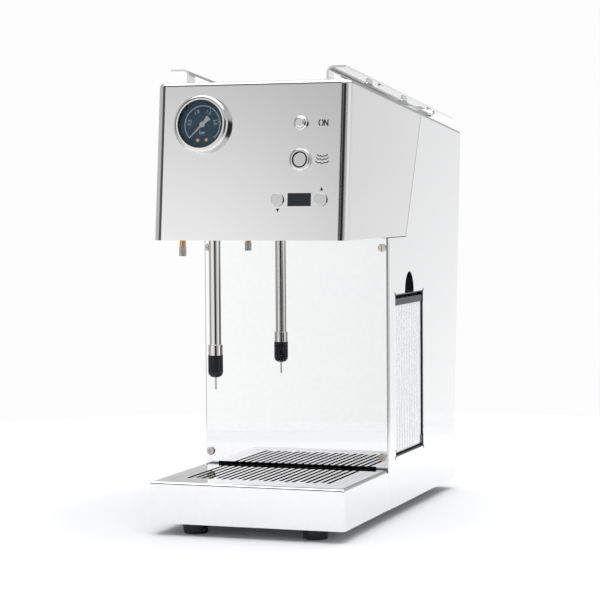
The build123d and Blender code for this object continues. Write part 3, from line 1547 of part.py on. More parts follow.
inlet_at = (inlet_x, inlet_up)
contact_width = 2.0
contact_height = 6.0
with BuildPart() as power_inlet:
    with BuildSketch(rear):
        with Locations(inlet_at):
            RectangleRounded(inlet_flange_width, inlet_flange_height, 2 * sheet)
    extrude(amount=2 * sheet)
    with BuildSketch(rear):
        with Locations(inlet_at):
            Rectangle(inlet_width - 2 * hole_gap, inlet_height - 2 * hole_gap)
    extrude(amount=-inlet_depth)
    with BuildSketch(rear.offset(2 * sheet)):
        with Locations(inlet_at):
            Rectangle(inlet_width - 22, inlet_height - 9)
    extrude(amount=-inlet_depth, mode=Mode.SUBTRACT)
    with BuildSketch(rear.offset(-inlet_depth + 2 * sheet)):
        with Locations(inlet_at):
            with GridLocations(7, 0, 3, 1):
                Rectangle(contact_width, contact_height)
    extrude(amount=inlet_depth - 2 * sheet)
finish(power_inlet, "power_inlet")
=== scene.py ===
"""Looks of a compact milk-frothing steam machine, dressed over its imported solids.

The frame's origin lies under the middle of the machine on the surface it stands on, with X to the
right, Y to the back and Z up.  Everything is in metres.
"""

import logging
import math
from dataclasses import dataclass, field
from enum import Enum
from typing import Callable, Sequence

import bmesh
import bpy
from mathutils import Matrix, Vector


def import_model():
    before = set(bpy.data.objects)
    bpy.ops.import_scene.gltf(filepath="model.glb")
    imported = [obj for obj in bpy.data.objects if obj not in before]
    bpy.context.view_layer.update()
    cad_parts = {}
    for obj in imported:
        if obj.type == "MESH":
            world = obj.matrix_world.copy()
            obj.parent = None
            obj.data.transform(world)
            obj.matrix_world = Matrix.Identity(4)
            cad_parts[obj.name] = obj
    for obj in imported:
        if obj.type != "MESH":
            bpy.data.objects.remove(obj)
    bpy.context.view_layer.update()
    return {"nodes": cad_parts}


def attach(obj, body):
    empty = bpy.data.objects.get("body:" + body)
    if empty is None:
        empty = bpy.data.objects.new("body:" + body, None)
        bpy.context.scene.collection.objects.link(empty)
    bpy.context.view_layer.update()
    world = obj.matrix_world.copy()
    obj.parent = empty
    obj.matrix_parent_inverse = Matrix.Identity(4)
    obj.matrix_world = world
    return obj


LOG = logging.getLogger("steam_machine")
Colour = tuple[float, float, float]
Point = tuple[float, float]
Socket = bpy.types.NodeSocket
MARK_SHADE = 0.94  # share of the main colour left in the deepest finishing marks
SMUDGE_TINT = 0.25  # share of the worn colour in the strongest handling marks


class Body(Enum):
    """Rigid bodies that added pieces ride on."""

    HOUSING = "housing"
    TANK = "tank"


class Grain(Enum):
    """Directions that a sheet's finishing marks run in, as noise stretches along X, Y and Z."""

    UPRIGHT = (1.0, 1.0, 0.06)
    EVEN = (1.0, 1.0, 1.0)


# ---------------------------------------------------------------- shader tools
class Graph:
    """Short hand for adding and joining nodes of one node tree."""

    def __init__(self, tree: bpy.types.NodeTree) -> None:
        """Wraps a tree.

        Args:
            tree: node tree that nodes are added to.
        """
        self.tree = tree

    def add(
        self, kind: str, links: dict[str | int, object] | None = None, **settings: object
    ) -> bpy.types.Node:
        """Adds a node.

        Args:
            kind: Blender's node type.
            links: input name or index to a socket to link or a value to set.
            settings: node properties to set first.

        Returns:
            The new node.
        """
        node = self.tree.nodes.new(kind)
        for key, value in settings.items():
            setattr(node, key, value)
        for key, value in (links or {}).items():
            if isinstance(value, Socket):
                self.tree.links.new(value, node.inputs[key])
            else:
                node.inputs[key].default_value = value
        return node

    def blend(self, mask: object, low: object, high: object) -> Socket:
        """Mixes two colours by a mask.

        Args:
            mask: socket or number from 0 to 1.
            low: colour or socket at 0.
            high: colour or socket at 1.

        Returns:
            The mixed colour's socket.
        """
        node = self.add("ShaderNodeMix", data_type="RGBA")
        for index, value in ((0, mask), (6, low), (7, high)):
            if isinstance(value, Socket):
                self.tree.links.new(value, node.inputs[index])
            else:
                node.inputs[index].default_value = value if index == 0 else (*value, 1.0)
        return node.outputs[2]

    def span(self, value: Socket, low: float, high: float) -> Socket:
        """Maps 0 to 1 onto a range.

        Args:
            value: socket from 0 to 1.
            low: result at 0.
            high: result at 1.

        Returns:
            The mapped value's socket.
        """
        return self.add("ShaderNodeMapRange", {"Value": value, "To Min": low, "To Max": high}).outputs[0]

    def ramp(self, value: Socket, stops: Sequence[Point]) -> Socket:
        """Maps a value through straight spans.

        Args:
            value: socket from -1 to 1.
            stops: pairs of value and grey level, in rising order.

        Returns:
            The grey level's socket.
        """
        unit = self.add("ShaderNodeMapRange", {"Value": value, "From Min": -1.0, "From Max": 1.0}).outputs[0]
        node = self.add("ShaderNodeValToRGB", {"Fac": unit})
        elements = node.color_ramp.elements
        while len(elements) < len(stops):
            elements.new(0.5)
        for element, (place, level) in zip(elements, stops):
            element.position = (place + 1) / 2
            element.color = (level, level, level, 1.0)
        return node.outputs[0]

    def band(self, value: Socket, start: float, end: float, fade: float) -> Socket:
        """Masks a range of a value with soft ends.

        Args:
            value: the value's socket.
            start: where the mask begins.
            end: where it ends.
            fade: width of each soft end.

        Returns:
            A socket that is 1 inside the range and 0 outside.
        """
        rise = self.add(
            "ShaderNodeMapRange", {"Value": value, "From Min": start - fade / 2, "From Max": start + fade / 2}
        )
        fall = self.add(
            "ShaderNodeMapRange",
            {"Value": value, "From Min": end - fade / 2, "From Max": end + fade / 2,
             "To Min": 1.0, "To Max": 0.0},
        )
        node = self.add("ShaderNodeMath", {0: rise.outputs[0], 1: fall.outputs[0]}, operation="MULTIPLY")
        return node.outputs[0]


def make_group(
    name: str, inputs: dict[str, object], outputs: dict[str, str]
) -> tuple[bpy.types.NodeTree, Graph]:
    """Starts a shader node group with named sockets.

    Args:
        name: the group's name.
        inputs: socket name to its starting value; a triple makes a vector socket.
        outputs: socket name to its socket type.

    Returns:
        The group's tree and a graph helper on it.
    """
    tree = bpy.data.node_groups.new(name, "ShaderNodeTree")
    for label, value in inputs.items():
        kind = "NodeSocketVector" if isinstance(value, tuple) else "NodeSocketFloat"
        tree.interface.new_socket(label, in_out="INPUT", socket_type=kind).default_value = value
    for label, kind in outputs.items():
        tree.interface.new_socket(label, in_out="OUTPUT", socket_type=kind)
    return tree, Graph(tree)


class Effects:
    """Shared surface effects, each one node group."""

    def __init__(self) -> None:
        """Builds every group once."""
        self.grain = self._grain()
        self.smudge = self._smudge()
        self.edge_wear_and_highlight = self._edge_wear_and_highlight()

    @staticmethod
    def _grain() -> bpy.types.NodeTree:
        """Fine finishing marks: a noise stretched along the grain.

        Returns:
            The group, whose Marks run from 0 to 1.
        """
        tree, g = make_group(
            "finishing_marks", {"Scale": 900.0, "Stretch": (1.0, 1.0, 1.0)}, {"Marks": "NodeSocketFloat"}
        )
        start, end = g.add("NodeGroupInput"), g.add("NodeGroupOutput")
        place = g.add("ShaderNodeTexCoord").outputs["Object"]
        along = g.add("ShaderNodeVectorMath", {0: place, 1: start.outputs["Stretch"]}, operation="MULTIPLY")
        noise = g.add(
            "ShaderNodeTexNoise",
            {"Vector": along.outputs[0], "Scale": start.outputs["Scale"], "Detail": 3.0},
        )
        tree.links.new(noise.outputs[0], end.inputs["Marks"])
        return tree

    @staticmethod
    def _smudge() -> bpy.types.NodeTree:
        """Faint handling marks: soft clouds.

        Returns:
            The group, whose Mask runs from 0 to its Amount.
        """
        tree, g = make_group("handling_marks", {"Scale": 14.0, "Amount": 1.0}, {"Mask": "NodeSocketFloat"})
        start, end = g.add("NodeGroupInput"), g.add("NodeGroupOutput")
        place = g.add("ShaderNodeTexCoord").outputs["Object"]
        noise = g.add(
            "ShaderNodeTexNoise",
            {"Vector": place, "Scale": start.outputs["Scale"], "Detail": 5.0, "Distortion": 0.6},
        )
        clear = g.add("ShaderNodeMapRange", {"Value": noise.outputs[0], "From Min": 0.42, "From Max": 0.7})
        parts = {0: clear.outputs[0], 1: start.outputs["Amount"]}
        mask = g.add("ShaderNodeMath", parts, operation="MULTIPLY")
        tree.links.new(mask.outputs[0], end.inputs["Mask"])
        return tree

    @staticmethod
    def _edge_wear_and_highlight() -> bpy.types.NodeTree:
        """Polished or rubbed edges, partly real rubbing and partly a painted highlight along every edge:
        where a rounded normal leaves the true one.

        Returns:
            The group, whose Mask is 1 along sharp edges.
        """
        tree, g = make_group("rubbed_and_highlit_edges", {"Width": 0.0006}, {"Mask": "NodeSocketFloat"})
        start, end = g.add("NodeGroupInput"), g.add("NodeGroupOutput")
        soft = g.add("ShaderNodeBevel", {"Radius": start.outputs["Width"]}, samples=3)
        true = g.add("ShaderNodeNewGeometry").outputs["Normal"]
        dot = g.add("ShaderNodeVectorMath", {0: soft.outputs[0], 1: true}, operation="DOT_PRODUCT")
        edge = g.add("ShaderNodeMapRange", {"Value": dot.outputs["Value"], "From Min": 0.99, "From Max": 0.8})
        tree.links.new(edge.outputs[0], end.inputs["Mask"])
        return tree


@dataclass(frozen=True)
class Finish:
    """A surface finish with marks, smudges and rubbed edges carrying a painted highlight, on one Principled
    shader.

    Attributes:
        name: the material's name.
        colour: main colour.
        worn_and_highlit: colour of the marks, and of the rubbed edges, where it is partly a painted
            highlight.
        metallic: 0 for plastics and rubber, 1 for metals.
        roughness: lowest and highest roughness.
        grain: direction of the finishing marks.
        grain_scale: how fine the marks are.
        relief: strength of the marks' bump.
        depth: height of the bump in metres.
        smudge: how strong handling marks are.
        extras: other values set on the shader's own sockets.
    """

    name: str
    colour: Colour
    worn_and_highlit: Colour
    metallic: float = 0.0
    roughness: tuple[float, float] = (0.3, 0.4)
    grain: Grain = Grain.EVEN
    grain_scale: float = 900.0
    relief: float = 0.1
    depth: float = 0.00005
    smudge: float = 0.5
    extras: tuple[tuple[str, object], ...] = ()

    def make(self, effects: Effects) -> bpy.types.Material:
        """Builds the material.

        Args:
            effects: shared effect groups.

        Returns:
            The new material.
        """
        material = bpy.data.materials.new(self.name)
        material.use_nodes = True
        g = Graph(material.node_tree)
        shader = material.node_tree.nodes["Principled BSDF"]
        marks = g.add("ShaderNodeGroup", node_tree=effects.grain)
        marks.inputs["Scale"].default_value = self.grain_scale
        marks.inputs["Stretch"].default_value = self.grain.value
        clouds = g.add("ShaderNodeGroup", node_tree=effects.smudge)
        clouds.inputs["Amount"].default_value = self.smudge
        edges = g.add("ShaderNodeGroup", node_tree=effects.edge_wear_and_highlight)
        tone = g.blend(marks.outputs["Marks"], tuple(c * MARK_SHADE for c in self.colour), self.colour)
        tone = g.blend(g.span(clouds.outputs["Mask"], 0.0, SMUDGE_TINT), tone, self.worn_and_highlit)
        # edges take the lighter colour: partly real rubbing, partly a painted highlight along every edge
        tone = g.blend(edges.outputs["Mask"], tone, self.worn_and_highlit)
        parts = {0: marks.outputs["Marks"], 1: clouds.outputs["Mask"]}
        mixed = g.add("ShaderNodeMath", parts, operation="ADD")
        rough = g.span(mixed.outputs[0], *self.roughness)
        bump = g.add(
            "ShaderNodeBump",
            {"Strength": self.relief, "Distance": self.depth, "Height": marks.outputs["Marks"]},
        )
        links = material.node_tree.links
        links.new(tone, shader.inputs["Base Color"])
        links.new(rough, shader.inputs["Roughness"])
        links.new(bump.outputs[0], shader.inputs["Normal"])
        shader.inputs["Metallic"].default_value = self.metallic
        for socket, value in self.extras:
            shader.inputs[socket].default_value = value
        return material


@dataclass(frozen=True)
class FlutedFinish(Finish):
    """Frosted plastic with painted bluish shade down in the grooves between flutes and a thin painted dark
    line along each crest.

    Attributes:
        middle: place of the middle flute along Y.
        pitch: distance between flutes.
        painted_groove_shade: colour of the painted shade down in the grooves.
        groove: the flute wave's height where a groove begins and where it is deepest; the painted shade runs
            between them.
        crest: the wave's height where a crest's painted dark line begins and where it is strongest.
        crest_shade_share: share of the painted groove shade's colour in that line.
    """

    middle: float = 0.0031
    pitch: float = 0.00875
    painted_groove_shade: Colour = (0.72, 0.77, 0.83)
    groove: tuple[float, float] = (-0.2, -0.95)
    crest: tuple[float, float] = (0.93, 1.0)
    crest_shade_share: float = 0.2

    def make(self, effects: Effects) -> bpy.types.Material:
        """Builds the material.

        Args:
            effects: shared effect groups.

        Returns:
            The new material.
        """
        material = super().make(effects)
        g = Graph(material.node_tree)
        shader = material.node_tree.nodes["Principled BSDF"]
        plain = shader.inputs["Base Color"].links[0].from_socket
        apart = g.add("ShaderNodeSeparateXYZ", {0: g.add("ShaderNodeTexCoord").outputs["Object"]})
        across = g.add("ShaderNodeMath", {0: apart.outputs[1], 1: self.middle}, operation="SUBTRACT")
        parts = {0: across.outputs[0], 1: math.tau / self.pitch}
        turns = g.add("ShaderNodeMath", parts, operation="MULTIPLY")
        wave = g.add("ShaderNodeMath", {0: turns.outputs[0]}, operation="COSINE")
        # painted shade: darker and bluer down in each groove, with a thin painted dark line along each crest
        groove_shade = g.add(
            "ShaderNodeMapRange",
            {"Value": wave.outputs[0], "From Min": self.groove[0], "From Max": self.groove[1]},
        )
        line = g.add(
            "ShaderNodeMapRange",
            {"Value": wave.outputs[0], "From Min": self.crest[0], "From Max": self.crest[1],
             "To Max": self.crest_shade_share},
        )
        mask = g.add("ShaderNodeMath", {0: groove_shade.outputs[0], 1: line.outputs[0]}, operation="MAXIMUM")
        tone = g.blend(mask.outputs[0], plain, self.painted_groove_shade)
        material.node_tree.links.new(tone, shader.inputs["Base Color"])
        return material


class Wardrobe:
    """All finishes of the machine, made once and looked up by name."""

    SATIN = Finish(
        "satin_steel", (0.80, 0.80, 0.81), (0.86, 0.86, 0.87), metallic=1.0, roughness=(0.1, 0.13),
        grain_scale=420.0, relief=0.03, depth=0.00002, smudge=0.4,
    )
    SHELL = Finish(
        "shell_steel", (0.86, 0.865, 0.875), (0.9, 0.9, 0.91), metallic=1.0, roughness=(0.12, 0.16),
        grain_scale=380.0, relief=0.03, depth=0.00002, smudge=0.4,
    )
    MIRROR = Finish(
        "mirror_steel", (0.88, 0.885, 0.89), (0.92, 0.92, 0.93), metallic=1.0, roughness=(0.012, 0.026),
        grain_scale=160.0, relief=0.004, depth=0.00001, smudge=0.4,
    )
    TRAY = Finish(
        "tray_steel", (0.87, 0.875, 0.88), (0.92, 0.92, 0.93), metallic=1.0, roughness=(0.02, 0.04),
        grain_scale=200.0, relief=0.004, depth=0.00001,
    )
    BRIGHT = Finish(
        "bright_steel", (0.80, 0.79, 0.77), (0.9, 0.89, 0.87), metallic=1.0, roughness=(0.03, 0.055),
        relief=0.003, depth=0.00001, smudge=0.4,
    )
    CAP = Finish(
        "button_steel", (0.82, 0.82, 0.82), (0.9, 0.9, 0.9), metallic=1.0, roughness=(0.2, 0.26),
        grain_scale=2200.0, depth=0.00002, smudge=0.3,
    )
    NUT = Finish(
        "nickel_plate", (0.66, 0.63, 0.58), (0.8, 0.78, 0.74), metallic=1.0, roughness=(0.3, 0.36),
        grain=Grain.UPRIGHT, grain_scale=1500.0, relief=0.3, depth=0.00003, smudge=0.8,
    )
    ZINC = Finish(
        "zinc_steel", (0.62, 0.63, 0.65), (0.72, 0.73, 0.75), metallic=1.0, roughness=(0.3, 0.4),
        grain_scale=260.0, depth=0.00004, smudge=0.8,
    )
    BLACK = Finish(
        "black_plastic", (0.012, 0.012, 0.014), (0.03, 0.03, 0.033), roughness=(0.38, 0.465),
        grain_scale=1500.0, relief=0.25, depth=0.00004,
    )
    RUBBER = Finish(
        "black_rubber", (0.010, 0.012, 0.014), (0.03, 0.032, 0.035), roughness=(0.42, 0.51),
        grain_scale=1300.0, relief=0.3,
    )
    NOZZLE = Finish(
        "nozzle_rubber", (0.006, 0.009, 0.013), (0.016, 0.02, 0.026), roughness=(0.3, 0.375),
        grain_scale=1300.0, relief=0.15, depth=0.00003, extras=(("Specular IOR Level", 0.3),),
    )
    SILICONE = Finish(
        "clear_silicone", (0.72, 0.74, 0.74), (0.8, 0.8, 0.8), roughness=(0.3, 0.375), grain_scale=300.0,
        depth=0.00004, extras=(("Subsurface Weight", 0.2), ("Subsurface Radius", (0.003, 0.003, 0.003))),
    )
    DIAL = Finish(
        "dial_paint", (0.052, 0.104, 0.158), (0.058, 0.112, 0.168), roughness=(0.4, 0.475),
        grain_scale=1600.0, relief=0.05, depth=0.00002, smudge=0.4,
        extras=(("Specular IOR Level", 0.15),),
    )
    PRINT = Finish(
        "dial_print", (0.62, 0.76, 0.84), (0.66, 0.80, 0.88), roughness=(0.4, 0.475), grain_scale=1600.0,
        relief=0.05, depth=0.00001, smudge=0.3, extras=(("Specular IOR Level", 0.2),),
    )
    NEEDLE = Finish(
        "needle_paint", (0.62, 0.66, 0.68), (0.7, 0.72, 0.73), roughness=(0.35, 0.425),
        grain_scale=1600.0, relief=0.05, depth=0.00001, smudge=0.3,
    )
    INK = Finish(
        "panel_ink", (0.016, 0.016, 0.017), (0.03, 0.03, 0.031), roughness=(0.4, 0.5), grain_scale=1600.0,
        depth=0.00001,
    )
    DISPLAY = Finish(
        "display_tint", (0.022, 0.026, 0.032), (0.03, 0.034, 0.04), roughness=(0.3, 0.35), relief=0.02,
        depth=0.00001, smudge=0.4, extras=(("Specular IOR Level", 0.3),),
    )
    COPPER = Finish(
        "drawn_copper", (0.78, 0.36, 0.20), (0.88, 0.5, 0.33), metallic=1.0, roughness=(0.18, 0.29),
        grain_scale=500.0, depth=0.00003, smudge=0.9,
    )
    BRASS = Finish(
        "turned_brass", (0.75, 0.44, 0.16), (0.88, 0.6, 0.3), metallic=1.0, roughness=(0.14, 0.23),
        relief=0.08, depth=0.00002, smudge=0.7,
    )
    BOARD = Finish(
        "circuit_board", (0.02, 0.11, 0.05), (0.04, 0.2, 0.09), roughness=(0.3, 0.4), grain_scale=500.0,
        relief=0.2,
    )
    # the tank's grooves and crests carry painted shade, made in FlutedFinish
    TANK = FlutedFinish(
        "frosted_plastic", (0.96, 0.972, 0.985), (0.98, 0.985, 0.99), roughness=(0.24, 0.3),
        grain_scale=500.0, relief=0.003, depth=0.000002, smudge=0.1,
        extras=(("Specular IOR Level", 0.4),),
    )
    GLASS = Finish(
        "gauge_glass", (0.97, 0.98, 0.98), (1.0, 1.0, 1.0), roughness=(0.0, 0.0075), grain_scale=200.0,
        relief=0.0, depth=0.00001, smudge=0.2, extras=(("Transmission Weight", 1.0), ("IOR", 1.18)),
    )

    def __init__(self) -> None:
        """Makes the shared effects; materials are made when first asked for."""
        self.effects = Effects()
        self.made: dict[str, bpy.types.Material] = {}

    def get(self, finish: Finish) -> bpy.types.Material:
        """Gives a finish's material.

        Args:
            finish: the finish wanted.

        Returns:
            Its one material.
        """
        if finish.name not in self.made:
            self.made[finish.name] = finish.make(self.effects)
        return self.made[finish.name]

    def dress(self, obj: bpy.types.Object, finish: Finish) -> None:
        """Gives every slot of an object one finish.

        Args:
            obj: the object.
            finish: what it wears.
        """
        material = self.get(finish)
        if not obj.data.materials:
            obj.data.materials.append(material)
        for slot in obj.material_slots:
            slot.material = material


# ---------------------------------------------------------------- mesh tools
def mesh_object(name: str, build: Callable[[bmesh.types.BMesh], None], place: Matrix) -> bpy.types.Object:
    """Makes a mesh object in the scene.

    Args:
        name: the object's name.
        build: fills an empty bmesh.
        place: moves the finished mesh into the frame.

    Returns:
        The new object, at the origin, with its place in its mesh.
    """
    bm = bmesh.new()
    build(bm)
    bm.transform(place)
    bmesh.ops.recalc_face_normals(bm, faces=bm.faces)
    mesh = bpy.data.meshes.new(name)
    bm.to_mesh(mesh)
    bm.free()
    obj = bpy.data.objects.new(name, mesh)
    bpy.context.scene.collection.objects.link(obj)
    return obj


def add_prism(bm: bmesh.types.BMesh, outline: Sequence[Point], low: float, high: float) -> None:
    """Adds a closed prism.

    Args:
        bm: mesh that it is added to.
        outline: counter-clockwise corners in the plane.
        low: height of its base.
        high: height of its top.
    """
    base = [bm.verts.new((x, y, low)) for x, y in outline]
    top = [bm.verts.new((x, y, high)) for x, y in outline]
    bm.faces.new(reversed(base))
    bm.faces.new(top)
    for index in range(len(outline)):
        after = (index + 1) % len(outline)
        bm.faces.new((base[index], base[after], top[after], top[index]))


def stroke(points: Sequence[Point], width: float) -> list[Point]:
    """Widens a path into a closed outline.

    Args:
        points: the path.
        width: the stroke's width.

    Returns:
        Corners down one side and back up the other.
    """
    left, right = [], []
    for index, point in enumerate(points):
        before = Vector(points[max(index - 1, 0)])
        after = Vector(points[min(index + 1, len(points) - 1)])
        along = (after - before).normalized()
        side = Vector((-along.y, along.x)) * width / 2
        left.append((point[0] + side.x, point[1] + side.y))
        right.append((point[0] - side.x, point[1] - side.y))
    return right + left[::-1]


def arc(middle: Point, radius: float, start: float, end: float, steps: int) -> list[Point]:
    """Points along an arc.

    Args:
        middle: its centre.
        radius: its radius.
        start: first angle in degrees.
        end: last angle in degrees.
        steps: number of spans.

    Returns:
        The points in order.
    """
    angles = [math.radians(start + (end - start) * i / steps) for i in range(steps + 1)]
    return [(middle[0] + radius * math.cos(a), middle[1] + radius * math.sin(a)) for a in angles]


def rounded(across: Point, up: Point, radius: float) -> list[Point]:
    """Outline of a rectangle with round corners.

    Args:
        across: its two sides.
        up: its foot and top.
        radius: corner radius.

    Returns:
        Points, counter-clockwise.
    """
    corners = (
        (across[1] - radius, up[0] + radius, -90),
        (across[1] - radius, up[1] - radius, 0),
        (across[0] + radius, up[1] - radius, 90),
        (across[0] + radius, up[0] + radius, 180),
    )
    return [p for x, y, start in corners for p in arc((x, y), radius, start, start + 90, 6)]


def add_text(name: str, words: str, size: float, place: Matrix, thickness: float) -> bpy.types.Object:
    """Makes raised lettering as a mesh.

    Args:
        name: the object's name.
        words: what it says.
        size: letter height, roughly.
        place: its centre and plane in the frame.
        thickness: how thick the print is.

    Returns:
        The lettering.
    """
    curve = bpy.data.curves.new(name, "FONT")
    curve.body, curve.size = words, size
    curve.align_x, curve.align_y = "CENTER", "CENTER"
    curve.extrude, curve.resolution_u = thickness / 2, 3
    holder = bpy.data.objects.new(name + "_curve", curve)
    bpy.context.scene.collection.objects.link(holder)
    mesh = bpy.data.meshes.new_from_object(holder)
    bpy.data.objects.remove(holder)
    mesh.name = name
    mesh.transform(place)
    obj = bpy.data.objects.new(name, mesh)
    bpy.context.scene.collection.objects.link(obj)
    return obj


# ---------------------------------------------------------------- sub-assemblies
@dataclass
class Fascia:
    """The sloping front panel: where its controls sit and what is printed beside them.

    Attributes:
        top: front top edge of the hood, as Y and Z.
        lean: how far the panel's foot stands forward of its top.
        height: the panel's height.
        ink: thickness of the print.
        lift: how far it stands off the sheet.
        letter: half the height of a letter of the power legend.
        letter_stroke: thickness of its strokes.
        drips: half width and level of each line of the steam legend.
        drip_stroke: thickness of those lines.
        power: centre of the power legend, across and down from the top edge.
        steam: centre of the steam legend.
        down_arrow: centre of the lower arrow.
        up_arrow: centre of the upper arrow.
    """

    top: Point = (-0.1807, 0.4192)
    lean: float = 0.0151
    height: float = 0.146
    ink: float = 0.00006
    lift: float = 0.00002
    letter: float = 0.00285
    letter_stroke: float = 0.0011
    drips: tuple[Point, ...] = ((0.0050, 0.0031), (0.0057, 0.0001), (0.0063, -0.0031))
    drip_stroke: float = 0.00085
    power: Point = (0.0702, 0.0397)
    steam: Point = (0.0695, 0.0728)
    down_arrow: Point = (0.0280, 0.1192)
    up_arrow: Point = (0.0696, 0.0997)

    def plane(self, across: float = 0.0, down: float = 0.0, out: float = 0.0) -> Matrix:
        """Finds a place on the panel.

        Args:
            across: distance to the right of the middle.
            down: distance down the panel from its top edge.
            out: distance out of the panel.

        Returns:
            A matrix whose X runs right, Y runs up the panel and Z points out.
        """
        tilt = math.atan2(self.lean, self.height)
        up = Vector((0.0, math.sin(tilt), math.cos(tilt)))
        normal = Vector((0.0, -math.cos(tilt), math.sin(tilt)))
        right = Vector((1.0, 0.0, 0.0))
        origin = Vector((0.0, *self.top)) + right * across - up * down + normal * out
        turn = Matrix((right, up, normal)).transposed().to_4x4()
        return Matrix.Translation(origin) @ turn

    def _letters(self, bm: bmesh.types.BMesh) -> None:
        """Two stencil letters: a ring split above and below, and a diagonal between two posts.

        Args:
            bm: mesh that they are added to.
        """
        narrow, ring, gap, posts = 0.7, -0.0027, 18, (0.0005, 0.0038)
        paths = [[(x, -self.letter), (x, self.letter)] for x in posts]
        paths.append([(posts[0] + 0.0001, self.letter), (posts[1] - 0.0001, -self.letter)])
        for side in (1, -1):
            half = arc((0, 0), self.letter, 90 - side * gap, 90 - side * (180 - gap), 14)
            paths.append([(x * narrow + ring, y) for x, y in half])
        for path in paths:
            add_prism(bm, stroke(path, self.letter_stroke), 0, self.ink)

    def _waves(self, bm: bmesh.types.BMesh) -> None:
        """Three stacked lines of drips, each wider than the one above.

        Args:
            bm: mesh that they are added to.
        """
        steps, sag, dip = 36, 0.0015, 0.0009
        for half, level in self.drips:
            path = []
            for step in range(steps + 1):
                along = 2 * step / steps - 1
                drip = abs(math.sin(1.5 * math.pi * (along + 1)))
                path.append((along * half, level + sag * along**2 - dip * drip))
            add_prism(bm, stroke(path, self.drip_stroke), 0, self.ink)

    def _arrow(self, up: int) -> Callable[[bmesh.types.BMesh], None]:
        """Gives the maker of a small triangle.

        Args:
            up: 1 to point up, -1 to point down.

        Returns:
            A function that adds it to a mesh.
        """

        def build(bm: bmesh.types.BMesh) -> None:
            """Adds the triangle."""
            corners = [(-0.0017, -0.0016 * up), (0.0017, -0.0016 * up), (0.0, 0.0017 * up)]
            add_prism(bm, corners[::up], 0, self.ink)

        return build

    def build(self, wardrobe: Wardrobe) -> list[bpy.types.Object]:
        """Prints the legends.

        Args:
            wardrobe: the finishes.

        Returns:
            The printed pieces.
        """
        pieces = [
            mesh_object("power_legend", self._letters, self.plane(*self.power, self.lift)),
            mesh_object("steam_legend", self._waves, self.plane(*self.steam, self.lift)),
            mesh_object("down_arrow", self._arrow(-1), self.plane(*self.down_arrow, self.lift)),
            mesh_object("up_arrow", self._arrow(1), self.plane(*self.up_arrow, self.lift)),
        ]
        for piece in pieces:
            wardrobe.dress(piece, wardrobe.INK)
            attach(piece, Body.HOUSING.value)
        return pieces


@dataclass
class DialScrew:
    """A slotted countersunk screw head.

    Attributes:
        rim: radius where it meets the dial.
        crown: radius of its flat top.
        height: how high the top stands.
        slot: half the slot's width.
        reach: half the slot's length.
        floor: height of the slot's floor.
        sides: number of sides of its outline.
    """

    rim: float = 0.0017
    crown: float = 0.00135
    height: float = 0.0004
    slot: float = 0.00024
    reach: float = 0.00128
    floor: float = 0.0002
    sides: int = 24

    def add(self, bm: bmesh.types.BMesh, middle: Point, turn: float) -> None:
        """Adds one head.

        Args:
            bm: mesh that it is added to.
            middle: its centre.
            turn: angle of its slot in degrees.
        """
        last = 360 - 360 / self.sides
        base = [bm.verts.new((*p, 0.0)) for p in arc(middle, self.rim, 0, last, self.sides - 1)]
        top = [bm.verts.new((*p, self.height)) for p in arc(middle, self.crown, 0, last, self.sides - 1)]
        for index in range(self.sides):
            after = (index + 1) % self.sides
            bm.faces.new((base[index], base[after], top[after], top[index]))
        bm.faces.new(reversed(base))
        angle = math.radians(turn)
        centre, along = Vector(middle), Vector((math.cos(angle), math.sin(angle)))
        across = Vector((-along.y, along.x))
        corners = []
        for side in (1, -1):
            half = [vert for vert in top if ((vert.co.xy - centre).dot(across) > 0) == (side > 0)]
            half.sort(key=lambda vert: -side * (vert.co.xy - centre).dot(along))
            edge = [centre + side * (across * self.slot + along * end) for end in (-self.reach, self.reach)]
            brink = [bm.verts.new((*p, self.height)) for p in edge]
            foot = [bm.verts.new((*p, self.floor)) for p in edge]
            bm.faces.new(half + brink)
            bm.faces.new((brink[0], brink[1], foot[1], foot[0]))
            corners += edge
        bm.faces.new([bm.verts.new((*p, self.floor)) for p in corners])


